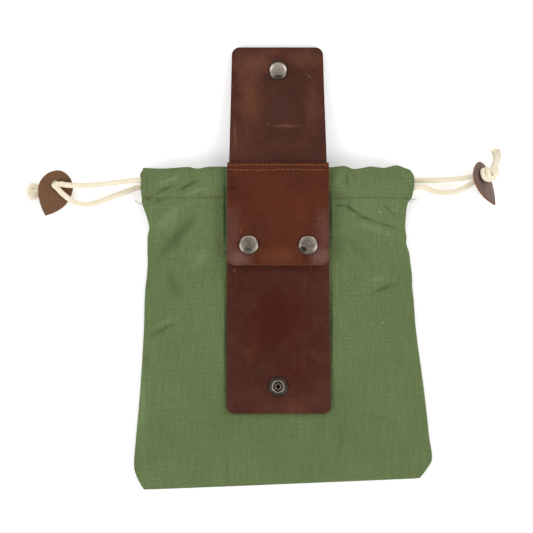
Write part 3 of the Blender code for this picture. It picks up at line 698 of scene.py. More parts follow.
    def upper_tunnel_z(self, u: Points, c: Points) -> Points:
        """Height of the middle of the upper casing's tunnel, which droops at both its edges."""
        droop = np.where(c < 0.5, 1.5, 0.6) * (2 * c - 1) ** 2
        return 3 * self.canvas + self.tunnel * 1.5 + self.mouth(u) - droop

    def front_height(self, u: Points, t: Points) -> Points:
        """Middle surface of the front sheet, flat on the table apart from its seams."""
        inside = (1 - np.abs(u) ** 16) * (1 - (1 - t) ** 30)
        rim = (1 - inside) * (1 - ease(0.86, 0.99, t))
        return self.canvas / 2 + self.seam_lift * rim

    def back_height(self, u: Points, t: Points) -> Points:
        """Middle surface of the back sheet's body, which climbs to the casing's stitch line."""
        across = (1 - np.abs(u) ** 4) ** 0.6
        along = (1 - (1 - t) ** 8) ** 0.6
        hollow = self.seam_gap + (self.hollow_height - self.seam_gap) * across * along
        body = self.front_height(u, t) + self.canvas + hollow
        at_stitches = self.upper_tunnel_z(u, np.zeros_like(u)) + self.casing_depth(np.zeros_like(u)) / 2
        return body + (at_stitches - body) * ease(0.75 + 0.13 * u * u, 1.0, t)

    def fold_relief(self, x: Points, y: Points) -> Points:
        """Height that the soft folds add at a point of the back sheet, none beside the leather."""
        total = np.zeros_like(x)
        for x0, y0, x1, y1, half_width, height in self.folds:
            run, rise = x1 - x0, y1 - y0
            share = np.clip(((x - x0) * run + (y - y0) * rise) / (run * run + rise * rise), 0.0, 1.0)
            away = np.hypot(x - x0 - run * share, y - y0 - rise * share)
            total += height * np.exp(-((away / half_width) ** 2))
        left, right = self.fold_clear
        return total * np.maximum(ease(0.0, 8.0, left - x), ease(0.0, 8.0, x - right))

    def across(self, edges: Table, u: Points, share: Points,
               inset: tuple[float, float] = (0.0, 0.0)) -> tuple[Points, Points]:
        """Plan position between the left and right edge of a table, drawn in by the left and right inset."""
        half = (u + 1) / 2
        left, right = through(edges, share, 1) + inset[0], through(edges, share, 3) - inset[1]
        low, high = through(edges, share, 2), through(edges, share, 4)
        return left + (right - left) * half, low + (high - low) * half

    def casing_xy(self, back: bool, u: Points, c: Points,
                  inset: tuple[float, float] = (0.0, 0.0)) -> tuple[Points, Points]:
        """Plan position of a point of the back or front casing, with its wavy top fold."""
        x, y = self.across(self.casing_edges if back else self.front_casing_edges, u, c, inset)
        return x, y + through(self.top_waves, x) * np.clip(c, 0.0, 1.0) ** 3

    def stations(self, step: float) -> list[tuple[str, float]]:
        """Stations about step apart up the body, over the casing, round its fold and down the hem."""
        body = [("body", share) for share in np.linspace(0, 1, round(self.body_run / step) + 1)]
        count = round(self.casing_run / step)
        shares = [(1 - math.cos(math.pi * k / count)) / 2 for k in range(1, count + 1)]
        outer = [("casing", share) for share in shares]
        fold = [("fold", k / self.fold_steps) for k in range(1, self.fold_steps)]
        hem = [("hem", share) for share in reversed(shares)] + [("hem", 0.0), ("hem", -1.0)]
        return body + outer + fold + hem

    def row(self, u: Points, kind: str, share: float, back: bool) -> Points:
        """One row of a sheet's middle surface.

        Args:
            u: places across the sheet, from -1 to 1.
            kind: body, casing, fold or hem.
            share: place within that stretch.
            back: True for the back sheet, False for the front one.

        Returns:
            x, y, z rows, one for each u.
        """
        at = np.full_like(u, share)
        turn = math.pi * share
        if kind == "body":
            x, y = self.across(self.body_edges, u, at)
            z = self.back_height(u, at) + self.fold_relief(x, y) if back else self.front_height(u, at)
        elif kind == "fold":
            crisp, soft = self.hem_inset * max(0.0, 2 * share - 1), self.hem_inset * share
            x, y = self.casing_xy(back, u, np.ones_like(u), (crisp, soft))
            y = y + self.fold_radius * math.sin(turn)
            lift = self.fold_radius * math.cos(turn)
            z = self.upper_tunnel_z(u, np.ones_like(u)) + lift
            z = z if back else np.full_like(u, self.canvas / 2 + self.fold_radius - lift)
        elif kind == "casing":
            x, y = self.casing_xy(back, u, at)
            relief = self.fold_relief(x, y)
            relief = np.where(relief > 0, relief, relief * 0.6)
            z = self.upper_tunnel_z(u, at) + self.casing_depth(at) / 2 + relief
            z = z if back else np.full_like(u, self.canvas / 2)
        else:
            x, y = self.casing_xy(back, u, at, (self.hem_inset, self.hem_inset))
            y = y + min(share, 0.0) * self.hem_allowance
            held = np.maximum(at, 0.0)
            depth = self.casing_depth(held)
            z = self.upper_tunnel_z(u, held) - depth / 2 if back else self.canvas / 2 + depth
        return np.stack([x, y, z], axis=1)

    def sheet(self, name: str, back: bool, coarse: float, finish: bpy.types.Material) -> bpy.types.Object:
        """Builds one canvas sheet with its hem and its wall."""
        columns = round(self.width_run / (self.column_step * coarse))
        u = np.linspace(-1, 1, columns)
        rows = [self.row(u, kind, share, back) for kind, share in self.stations(self.row_step * coarse)]
        points = np.array(rows)
        down = np.cumsum(np.linalg.norm(np.diff(points[:, columns // 2], axis=0), axis=1))
        uv = np.stack(np.broadcast_arrays(points[:, :, 0], np.concatenate([[0.0], down])[:, None]), axis=2)
        piece = mesh_object(name, points.reshape(-1, 3), grid_faces(len(rows), columns), finish)
        set_uv(piece, uv.reshape(-1, 2))
        thicken(piece, self.canvas, even=False)
        dress(piece, "canvas", "back_panel" if back else "front_panel")
        return piece

    def build(self, finish: bpy.types.Material) -> list[bpy.types.Object]:
        """Builds both sheets in place of their plain solids."""
        return [self.sheet("canvas_back", True, 1.0, finish), self.sheet("canvas_front", False, 1.5, finish)]


# The leather


@dataclass
class LeatherWork:
    """The strip down the bag's back that becomes its flap, and the belt loop sewn over it."""

    leather: float = 2.0
    corner: float = 5.7
    arris: float = 0.55
    step: float = 1.6
    loop_x: float = -3.8
    loop_half_width: float = 38.0
    # y, height of the strip's middle surface
    strip_path: Table = (
        (-108.9, 11.3), (-90.0, 11.6), (-10.0, 11.9), (15.0, 12.8), (30.0, 14.6), (45.0, 17.3),
        (55.0, 19.3), (66.0, 20.2), (76.0, 19.6), (90.0, 17.2), (110.0, 12.8), (130.0, 8.7),
        (148.4, 5.9), (158.0, 4.4), (166.1, 3.2),
    )
    # y, left x, right x
    strip_edges: Table = (
        (-108.9, -42.6, 35.9), (-60.0, -42.1, 35.2), (14.0, -41.9, 34.3), (81.0, -40.3, 32.6),
        (126.0, -39.2, 31.1), (166.1, -38.3, 29.9),
    )
    # y, clear height over the strip
    loop_gaps: Table = (
        (2.6, 4.3), (10.0, 4.5), (17.7, 4.6), (24.0, 4.8), (32.0, 5.5), (40.0, 5.8), (48.0, 5.0),
        (55.0, 3.6), (64.0, 1.5), (70.0, 0.5), (74.0, 0.3), (79.1, 0.3),
    )

    def strip_height(self, y: Points) -> Points:
        """Height of the strip's middle surface."""
        return through(self.strip_path, y)

    def loop_height(self, y: Points) -> Points:
        """Height of the belt loop's middle surface."""
        return self.strip_height(y) + self.leather + through(self.loop_gaps, y)

    def rows(self, low: float, high: float) -> Points:
        """Places along a strip, closer together in its rounded ends."""
        turn = np.linspace(0, math.pi / 2, 9)
        end = self.corner * (1 - np.cos(turn))
        middle = np.linspace(low + self.corner, high - self.corner, round((high - low) / self.step))
        return np.concatenate([low + end, middle[1:-1], high - end[::-1]])

    def rounded(self, y: Points, low: float, high: float, round_top: bool) -> Points:
        """How far the long edges draw in at the rounded ends."""
        end = np.minimum(y - low, (high - y) if round_top else self.corner)
        short = self.corner - np.clip(end, 0.0, self.corner)
        return self.corner - np.sqrt(np.maximum(self.corner**2 - short**2, 0.0))

    def sheet(self, name: str, y: Points, left: Points, right: Points, height: Points,
              finishes: Sequence[bpy.types.Material]) -> bpy.types.Object:
        """Cuts one piece of hide and gives it its wall, its cut edge and a softly rounded arris."""
        columns = round(float(np.max(right - left)) / self.step)
        u = np.linspace(0, 1, columns)
        x = left[:, None] + (right - left)[:, None] * u[None, :]
        points = np.stack(np.broadcast_arrays(x, y[:, None], height[:, None]), axis=2)
        piece = mesh_object(name, points.reshape(-1, 3), grid_faces(len(y), columns), finishes[0])
        piece.data.materials.append(finishes[1])
        thicken(piece, self.leather, rim=1)
        round_edges(piece, self.arris, 3, material=1)
        return piece

    def build(self, strip_finishes: Sequence[bpy.types.Material],
              loop_finishes: Sequence[bpy.types.Material]) -> list[bpy.types.Object]:
        """Builds the strip and the loop, each of a hide and its cut edge, in place of their plain solids."""
        low, high = self.strip_path[0][0], self.strip_path[-1][0]
        y = self.rows(low, high)
        inset = self.rounded(y, low, high, True)
        strip = self.sheet("strip_hide", y, through(self.strip_edges, y, 1) + inset,
                           through(self.strip_edges, y, 2) - inset, self.strip_height(y), strip_finishes)
        low, high = self.loop_gaps[0][0], self.loop_gaps[-1][0]
        y = self.rows(low, high)
        inset = self.rounded(y, low, high, False)
        loop = self.sheet("loop_hide", y, self.loop_x - self.loop_half_width + inset,
                          self.loop_x + self.loop_half_width - inset, self.loop_height(y), loop_finishes)
        dress(strip, "strip_leather", "leather_strip")
        dress(loop, "loop_leather", "belt_loop")
        return [strip, loop]


# The snaps


@dataclass
class Snaps:
    """The three capped snaps, the two studs under the belt loop and the open stud for the flap."""

    leather: LeatherWork
    gap: float = 0.5
    post: float = 1.9
    steps: int = 72
    flap_at: tuple[float, float] = (-3.6, 148.4)
    flap_radius: float = 7.0
    loop_at: dict = field(default_factory=lambda: {Side.LEFT: (-25.7, 17.8), Side.RIGHT: (18.7, 17.6)})
    loop_radius: float = 7.45
    stud_at: tuple[float, float] = (-3.7, -88.4)
    socket_radius: float = 6.0
    socket_depth: float = 3.0
    socket_recess: float = 1.2
    head_clearance: float = 0.35
    # share of the cap's radius, height over its face
    dome: Table = (
        (0.0, 1.75), (0.25, 1.72), (0.5, 1.62), (0.66, 1.5), (0.78, 1.33), (0.88, 1.1), (0.94, 0.9),
        (0.98, 0.62), (1.0, 0.35), (0.985, 0.12), (0.94, 0.0),
    )
    # radius, height over its face
    rings: Table = (
        (0.0, 0.25), (1.3, 0.25), (1.5, 0.5), (1.55, 2.1), (1.7, 2.5), (2.0, 2.68), (2.35, 2.62), (2.7, 2.3),
        (2.85, 1.6), (3.0, 0.85), (3.25, 0.62), (3.6, 0.62), (3.75, 1.2), (3.85, 2.1), (4.1, 2.48),
        (4.4, 2.5), (4.75, 2.2), (4.95, 1.5), (5.1, 0.85), (5.4, 0.8), (5.8, 1.1), (6.3, 1.18),
        (6.7, 1.05), (7.1, 0.95), (7.45, 0.6), (7.6, 0.2), (7.5, 0.0),
    )
    # the same from the strip's middle surface: the rivet head inside the bag
    rivet: Table = ((5.0, -3.6), (5.0, -4.5), (0.0, -4.5))

    def place(self, at: tuple[float, float], height: Callable, below: float = 0.0) -> Matrix:
        """A snap's frame on a leather surface, square to it, moved below it along its own axis."""
        x, y = at
        slope = math.atan2(float(height(y + 1.0)) - float(height(y - 1.0)), 2.0)
        middle = Matrix.Translation(Vector((x, y, float(height(y)))) * MM)
        return middle @ Matrix.Rotation(slope, 4, "X") @ Matrix.Translation((0, 0, -below * MM))

    def turned(self, name: str, profile: Table, place: Matrix,
               finish: bpy.types.Material) -> bpy.types.Object:
        """Spins a profile of radius and height pairs, listed from the top down its outer side."""
        deselect_all()
        bpy.ops.mesh.primitive_plane_add(size=MM)
        piece = bpy.context.object
        piece.name = piece.data.name = name
        with editing(piece):
            bpy.ops.mesh.merge(type="CENTER")
            first = Vector((profile[0][0], 0, profile[0][1])) * MM
            bpy.ops.transform.translate(value=first)
            for (r0, z0), (r1, z1) in zip(profile, profile[1:]):
                bpy.ops.mesh.extrude_region_move(TRANSFORM_OT_translate={
                    "value": ((r1 - r0) * MM, 0, (z1 - z0) * MM)})
            bpy.ops.mesh.select_all(action="SELECT")
            bpy.ops.mesh.spin(steps=self.steps, angle=2 * math.pi, center=(0, 0, 0), axis=(0, 0, 1))
            bpy.ops.mesh.select_all(action="SELECT")
            bpy.ops.mesh.remove_doubles(threshold=0.00001)
            bpy.ops.mesh.normals_make_consistent(inside=False)
        piece.data.materials.append(finish)
        piece.data.shade_smooth()
        piece.data.transform(place)
        return piece

    def capped(self, name: str, radius: float, place: Matrix, finish: bpy.types.Material) -> bpy.types.Object:
        """A domed cap, its post through the leather and the socket under it."""
        face = self.leather.leather / 2 + self.gap
        low = -face - self.socket_depth
        dome = [(share * radius, face + height) for share, height in self.dome]
        below = (
            (self.post, face), (self.post, -face), (self.socket_radius - 0.3, -face),
            (self.socket_radius, -face - 0.3), (self.socket_radius, low + 0.6),
            (self.socket_radius - 0.6, low), (3.6, low), (3.4, low + 0.2),
            (3.4, -face - self.socket_recess), (0.0, -face - self.socket_recess),
        )
        return self.turned(name, (*dome, *below), place, finish)

    def build(self, finish: bpy.types.Material, worn: bpy.types.Material) -> None:
        """Builds every snap in place of its plain solid, the open stud in its own worn finish."""
        work = self.leather
        face = work.leather / 2 + self.gap
        flap_place = self.place(self.flap_at, work.strip_height)
        dress(self.capped("flap_cap", self.flap_radius, flap_place, finish), "gunmetal", "flap_snap")
        for side, at in self.loop_at.items():
            clear = float(through(work.loop_gaps, at[1]))
            cap_place = self.place(at, work.loop_height)
            cap = self.capped(f"loop_cap_{side.value}", self.loop_radius, cap_place, finish)
            dress(cap, "gunmetal", f"loop_snap_{side.value}")
            reach = work.leather / 2 + clear - self.gap - self.socket_recess - self.head_clearance
            profile = (
                (0.0, reach), (2.3, reach), (2.8, reach - 0.15), (3.0, reach - 0.5), (2.8, reach - 0.9),
                (2.6, face + 0.3), (5.3, face + 0.3), (5.4, face + 0.15), (5.3, face), (self.post, face),
                (self.post, self.rivet[0][1]), *self.rivet,
            )
            place = self.place(at, work.loop_height, work.leather + clear)
            dress(self.turned(f"loop_post_{side.value}", profile, place, finish), "gunmetal",
                  f"loop_stud_{side.value}")
        rings = [(radius, face + height) for radius, height in self.rings]
        rings += [(self.post, face), (self.post, self.rivet[0][1]), *self.rivet]
        stud = self.turned("open_stud", rings, self.place(self.stud_at, work.strip_height), worn)
        dress(stud, "gunmetal", "snap_stud")


# The stitching


@dataclass
class Stitching:
    """Every seam that shows: the casings' hems, the belt loop's two rows and the loose ends of thread."""

    # each row: its x, y line, pitch, stitch length, thread radius, wander and seed
    hem_rows: tuple = (
        (((-98.0, 53.0), (-75.0, 53.3), (-43.5, 53.1)), 2.9, 1.6, 0.19, 0.2, 2),
        (((35.5, 52.6), (60.0, 52.9), (94.0, 52.4)), 2.9, 1.6, 0.19, 0.2, 3),
        (((-101.9, 69.5), (-102.0, 54.5)), 2.6, 1.7, 0.17, 0.1, 4),
        (((94.6, 67.2), (94.6, 61.0), (94.0, 54.0)), 2.6, 1.7, 0.17, 0.1, 5),
    )
    loop_rows: tuple = (
        (((-40.6, 77.3), (-4.0, 77.5), (33.2, 77.2)), 3.9, 3.0, 0.36, 0.12, 8),
        (((-40.6, 73.9), (-20.0, 73.5), (8.0, 74.1), (33.2, 73.4)), 3.9, 3.1, 0.36, 0.3, 9),
    )
    # the tack at the left corner, sewn to and fro, and the thread ends there and at the right one
    tack: Table = (
        (-105.0, 52.4), (-104.2, 54.1), (-102.6, 54.0), (-102.1, 51.2), (-100.2, 51.7), (-99.9, 54.1),
        (-98.2, 52.6),
    )
    tack_radius: float = 0.24
    short_ends: tuple = (((92.4, 52.4), (92.8, 51.2)), ((93.5, 52.3), (93.8, 51.5)))
    short_end_radius: float = 0.22
    loose_ends: tuple = (
        ((-104.0, 49.6, 11.2), (-106.0, 48.4, 10.2), (-107.1, 48.5, 9.2), (-109.2, 49.8, 7.8),
         (-111.1, 51.3, 6.8)),
        ((93.6, 52.0, 12.2), (95.3, 50.7, 11.6), (96.3, 49.5, 11.0)),
        ((94.6, 52.4, 12.2), (96.9, 51.4, 11.6), (98.3, 51.6, 11.2), (99.8, 52.0, 10.8)),
    )
    lint: tuple = (
        ((94.6, 66.4), (94.8, 65.3)), ((94.8, 64.3), (94.9, 63.2)),
        ((72.2, 43.6), (72.5, 42.4), (73.3, 41.6)), ((75.0, -40.2), (75.2, -41.4)),
    )
    lint_radius: float = 0.2

    def seam(self, surface: bpy.types.Object, rows: tuple) -> list[tuple[Points, list]]:
        """Sews several rows of stitches into one surface."""
        return [stitch for line, *settings in rows for stitch in self.row(surface, line, *settings)]

    def stitch(self, surface: bpy.types.Object, start: Points, end: Points, radius: float,
               sunk: float = 0.35) -> tuple[Points, list]:
        """One stitch, a thread that rises out of a hole, lies on the surface and dives again."""
        share = np.linspace(0, 1, 7)
        xy = start + (end - start) * share[:, None]
        rise = np.sin(math.pi * share) ** 0.5 * (1 + sunk) * radius - radius * sunk
        z = np.array([top_of(surface, x, y) for x, y in xy]) + rise
        return tube_mesh(np.column_stack([xy, z]), np.full(7, radius), 6)

    def row(self, surface: bpy.types.Object, line: Table, pitch: float, length: float, radius: float,
            wander: float = 0.0, seed: int = 1) -> list[tuple[Points, list]]:
        """A row of stitches along a line of x, y points, with a little of a machine's wander."""
        draw = random.Random(seed)
        path = smooth_route([(x, y, 0.0) for x, y in line], pitch)[:, :2]
        made = []
        for start, end in zip(path, path[1:]):
            along = (end - start) / np.linalg.norm(end - start)
            side = np.array([-along[1], along[0]]) * draw.uniform(-wander, wander)
            tilt = np.array([-along[1], along[0]]) * draw.uniform(-wander, wander)
            made.append(self.stitch(surface, start + side, start + along * length + side + tilt, radius))
        return made

    def loose(self, route: Table, radius: float) -> tuple[Points, list]:
        """A loose end of thread along x, y, z points."""
        path = smooth_route(route, 0.6)
        return tube_mesh(path, np.linspace(radius, radius * 0.7, len(path)), 6)

    def on_surface(self, surface: bpy.types.Object, line: Table, radius: float) -> tuple[Points, list]:
        """A thread that lies on a surface along x, y points."""
        path = smooth_route([(x, y, 0.0) for x, y in line], 0.5)
        path[:, 2] = [top_of(surface, x, y) + radius * 0.6 for x, y, _ in path]
        return tube_mesh(path, np.full(len(path), radius), 6)

    def build(self, back: bpy.types.Object, loop: bpy.types.Object, brown: bpy.types.Material,
              tan: bpy.types.Material, pale: bpy.types.Material) -> None:
        """Sews the hems and the belt loop, and leaves the threads and lint that lie about."""
        hems = self.seam(back, self.hem_rows)
        hems += [self.on_surface(back, ends, self.tack_radius) for ends in zip(self.tack, self.tack[1:])]
        hems += [self.on_surface(back, line, self.short_end_radius) for line in self.short_ends]
        hems += [self.loose(route, self.tack_radius) for route in self.loose_ends]
        dress(gathered("hem_stitches", hems, brown), None)
        lint = [self.on_surface(back, line, self.lint_radius) for line in self.lint]
        dress(gathered("lint", lint, pale), None)
        dress(gathered("loop_stitches", self.seam(loop, self.loop_rows), tan), None)


# The drawstrings


@dataclass
class Braid:
    """A round braided cord, drawn as a tube whose skin is raised along two crossing sets of strands."""

    diameter: float = 4.2
    strands: int = 10
    pitch: float = 12.5
    depth: float = 0.5
    sides: int = 40
    ring_step: float = 0.28

    def skin(self, angle: Points, along: Points) -> Points:
        """Height of the braid's skin from 0 in a groove to 1 on a strand's crown."""
        turn = 2 * math.pi * along / self.pitch
        first = np.cos(self.strands * (angle + turn) / 2)
        second = np.cos(self.strands * (angle - turn) / 2)
        over = first * second
        height = np.maximum(np.abs(first) ** 0.8 + 0.35 * over, np.abs(second) ** 0.8 - 0.35 * over)
        return np.clip(height / 1.35, 0.0, 1.0)

    def tube(self, name: str, route: Points, finish: bpy.types.Material, radius: Table | None = None,
             coarse: float = 1.0) -> bpy.types.Object:
        """Lays the braid along a route as one closed tube.

        Args:
            name: the piece's name.
            route: x, y, z rows on a smooth line.
            finish: the cord's material.
            radius: share of the way, radius there; None for the cord's own.
            coarse: how much coarser than usual the mesh is.

        Returns:
            The new piece, with its braid attribute.
        """
        centre = smooth_route(route, self.ring_step * coarse)
        tangent = np.gradient(centre, axis=0)
        tangent /= np.linalg.norm(tangent, axis=1, keepdims=True)
        normal = carried_normals(tangent)
        beside = np.cross(tangent, normal)
        steps = np.linalg.norm(np.diff(centre, axis=0), axis=1)
        along = np.concatenate([[0.0], np.cumsum(steps)])
        sides = round(self.sides / coarse)
        angle = np.linspace(0, 2 * math.pi, sides, endpoint=False)
        skin = self.skin(angle[None, :], along[:, None])
        base = np.full(len(along), self.diameter / 2)
        if radius is not None:
            base = through(radius, along / along[-1])
        size = base[:, None] * (1 - self.depth / (self.diameter / 2) * (1 - skin))
        ring = normal[:, None] * np.cos(angle)[None, :, None] + beside[:, None] * np.sin(angle)[None, :, None]
        points = (centre[:, None] + ring * size[:, :, None]).reshape(-1, 3)
        faces = [tuple(row) for row in grid_faces(len(centre), sides, wrap=True)]
        last = len(points)
        points = np.concatenate([points, centre[:1], centre[-1:]])
        for k in range(sides):
            after = (k + 1) % sides
            faces.append((after, k, last))
            faces.append((last - sides + k, last - sides + after, last + 1))
        piece = mesh_object(name, points, faces, finish)
        set_value(piece, "braid", np.concatenate([skin.ravel(), [0.0, 0.0]]))
        return piece


def carried_normals(tangent: Points) -> Points:
    """Carries one normal along a line's tangents without twist."""
    normals = np.empty_like(tangent)
    first = np.cross(tangent[0], (0.0, 0.0, 1.0))
    normals[0] = first / np.linalg.norm(first)
    for k in range(1, len(tangent)):
        carried = normals[k - 1] - tangent[k] * np.dot(normals[k - 1], tangent[k])
        normals[k] = carried / np.linalg.norm(carried)
    return normals


@dataclass
class Drawstrings:
    """Two braided cords, each through one casing and back through the other, with their free ends."""

    braid: Braid = field(default_factory=Braid)
    cord_y_middle: float = 63.5
    cord_y_offset: float = 2.65
    run_drop: float = 0.1
    uturn_bulge: float = 4.7
    join: float = 1.0
    uturn_x: dict = field(default_factory=lambda: {"left": -100.2, "right": 92.0})
    exit_x: dict = field(default_factory=lambda: {"left": -106.3, "right": 98.6})
    strands: dict = field(default_factory=lambda: {
        "left_strand_upper": (
            (-106.7, 66.1, 12.5), (-109.5, 66.0, 12.4), (-114.5, 65.7, 11.8), (-117.7, 65.4, 11.4),
            (-121.0, 65.0, 11.0), (-124.5, 64.6, 10.8), (-128.0, 64.2, 10.7), (-131.8, 63.7, 10.8),
            (-135.7, 63.2, 11.2), (-142.0, 62.6, 12.2), (-148.0, 62.3, 13.4), (-153.5, 62.2, 14.4),
            (-158.5, 62.3, 14.8), (-163.0, 62.7, 14.6), (-166.8, 63.4, 14.0),
        ),
        "left_strand_lower": (
            (-107.0, 60.85, 3.6), (-109.2, 60.8, 3.5), (-112.0, 60.1, 3.1), (-116.6, 58.2, 2.6),
            (-119.5, 57.1, 2.4), (-122.5, 56.1, 2.3), (-128.1, 54.0, 2.4), (-131.0, 52.8, 2.6),
            (-134.0, 51.6, 3.0), (-139.6, 49.5, 4.3), (-145.7, 48.2, 6.4), (-152.6, 48.6, 8.8),
            (-158.9, 51.2, 10.6), (-164.2, 55.2, 11.8), (-168.3, 59.4, 12.7),
        ),
        "right_strand_upper": (
            (99.0, 66.15, 3.55), (101.5, 66.2, 3.5), (103.7, 66.3, 3.3), (106.0, 66.4, 3.1),
            (109.8, 66.4, 2.9), (113.7, 66.4, 2.9), (117.2, 66.5, 3.1), (120.7, 66.6, 3.6),
            (124.2, 66.8, 4.5), (127.7, 67.0, 5.8), (131.4, 67.3, 7.5), (135.0, 67.7, 9.4),
            (137.8, 68.2, 10.8), (140.5, 68.7, 12.0), (144.4, 69.9, 13.1),
        ),
        "right_strand_lower": (
            (99.0, 60.85, 12.5), (101.5, 61.0, 12.4), (104.0, 60.9, 11.9), (106.2, 60.5, 11.0),
            (108.5, 59.6, 9.2), (111.3, 58.7, 6.5), (113.6, 58.0, 4.9), (116.2, 57.4, 3.8),
            (119.4, 57.0, 3.2), (124.5, 57.0, 3.6), (127.9, 57.4, 4.5), (131.3, 58.3, 5.7),
            (137.6, 61.2, 7.9), (142.3, 64.4, 9.1), (146.5, 67.5, 9.8),
        ),
    })

    def hidden_route(self, bag: Bag, side: Side) -> Points:
        """The run through the upper casing, round the hems' far ends and back through the lower one."""
        far = Side.RIGHT if side is Side.LEFT else Side.LEFT
        toward = far.toward
        upper_y = self.cord_y_middle + self.cord_y_offset * toward
        lower_y = self.cord_y_middle - self.cord_y_offset * toward
        start, turn = self.exit_x[side.value], self.uturn_x[far.value]
        ends = self.exit_x["left"], self.exit_x["right"]
        x = np.linspace(start + side.toward * self.join, turn, 17)
        u = np.clip((x - sum(ends) / 2) / ((ends[1] - ends[0]) / 2), -1.0, 1.0)
        high = bag.upper_tunnel_z(u, np.full_like(u, 0.5)) - self.run_drop
        low = np.full_like(x, bag.canvas + bag.tunnel / 2 - self.run_drop)
        upper = np.stack([x, np.full_like(x, upper_y), high], axis=1)
        lower = np.stack([x, np.full_like(x, lower_y), low], axis=1)[::-1]
        angle = (math.pi * np.arange(1, 8) / 8)[:, None]
        middle, half = (upper[-1] + lower[0]) / 2, (upper[-1] - lower[0]) / 2
        bulge = middle + half * np.cos(angle) + np.array([toward * self.uturn_bulge, 0, 0]) * np.sin(angle)
        return np.concatenate([upper, bulge, lower])

    def build(self, bag: Bag, finish: bpy.types.Material) -> dict[str, bpy.types.Object]:
        """Builds the hidden runs and the free strands in place of their plain tubes."""
        made = {}
        for side in Side:
            run = self.braid.tube(f"{side.value}_braid_run", self.hidden_route(bag, side), finish, coarse=1.8)
            dress(run, "cotton_cord", f"{side.value}_cord_run")
        for node, points in self.strands.items():
            strand = self.braid.tube(node.replace("strand", "braid"), points, finish)
            made[node] = dress(strand, "cotton_cord", node)
        return made

    def declare(self, made: dict[str, bpy.types.Object], ends: dict[str, list[bpy.types.Object]]) -> None:
        """Takes each free strand and the pieces at its end, and does nothing with them."""


# The toggles


@dataclass
class Toggles:
    """The leather offcuts on the drawstrings' ends, with their knots and frayed tails."""

    leather: float = 1.6
    hole: float = 3.0
    rings: int = 14
    # across, towards the tip, from the hole, seen on the grain side
    outline: Table = (
        (0.0, 26.0), (-6.0, 18.9), (-10.8, 9.7), (-11.7, 2.0), (-8.3, -5.8), (-0.5, -11.0), (7.6, -9.0),
        (12.9, -2.4), (13.7, 5.2), (11.4, 13.8), (6.7, 20.3), (0.0, 26.0),
    )
    # hole, heading from hole to tip, how far the tip points down and the piece leans, the grain's side
    places: dict = field(default_factory=lambda: {
        Side.LEFT: ((-170.6, 63.3, 9.4), (-0.326, -0.945), 16.0, 0.0, -1),
        Side.RIGHT: ((149.5, 71.4, 12.2), (0.366, -0.931), 8.0, -61.0, 1),
    })
    # how much each is cupped, and how far its head reaches as a share of the outline's
    bow: dict = field(default_factory=lambda: {Side.LEFT: 0.004, Side.RIGHT: 0.01})
    head: dict = field(default_factory=lambda: {Side.LEFT: 1.0, Side.RIGHT: 0.82})

    def frame(self, side: Side) -> Matrix:
        """The toggle's axes: X across it, Y towards its tip, Z out of its upper face, origin in its hole."""
        hole, heading, tip_down, lean, _ = self.places[side]
        tip = Vector((*heading, 0)).normalized()
        up = Vector((0, 0, 1))
        basis = Matrix((tip.cross(up), tip, up)).transposed().to_4x4()
        down = Matrix.Rotation(-math.radians(tip_down), 4, "X")
        leaned = Matrix.Rotation(math.radians(lean), 4, "Y")
        return Matrix.Translation(Vector(hole) * MM) @ basis @ down @ leaned

    def offcut(self, side: Side, finishes: Sequence[bpy.types.Material]) -> bpy.types.Object:
        """Cuts one leaf-shaped offcut with its hole and cups it a little, as damp hide dries."""
        grain = self.places[side][4]
        head = self.head[side]
        edge = smooth_route([(grain * x, y if y > 0 else y * head, 0.0) for x, y in self.outline], 0.9)[:-1]
        angle = np.arctan2(edge[:, 1], edge[:, 0])
        hole = np.stack([np.cos(angle), np.sin(angle), np.zeros_like(angle)], axis=1) * self.hole
        share = np.linspace(0, 1, self.rings)[:, None, None]
        points = hole[None] + (edge - hole)[None] * share
        points[:, :, 2] -= self.bow[side] * points[:, :, 0] ** 2
        faces = grid_faces(self.rings, len(edge), wrap=True)
        if grain > 0:
            faces = faces[:, ::-1]
        piece = mesh_object(f"{side.value}_offcut", points.reshape(-1, 3), faces, finishes[0])
        piece.data.materials.append(finishes[1])
        thicken(piece, self.leather, rim=1)
        round_edges(piece, 0.3, 2)
        piece.data.transform(self.frame(side))
        return piece

    def build(self, side: Side, finishes: Sequence[bpy.types.Material]) -> bpy.types.Object:
        """Builds one toggle in place of its plain solid."""
        return dress(self.offcut(side, finishes), "toggle_leather", f"{side.value}_toggle")


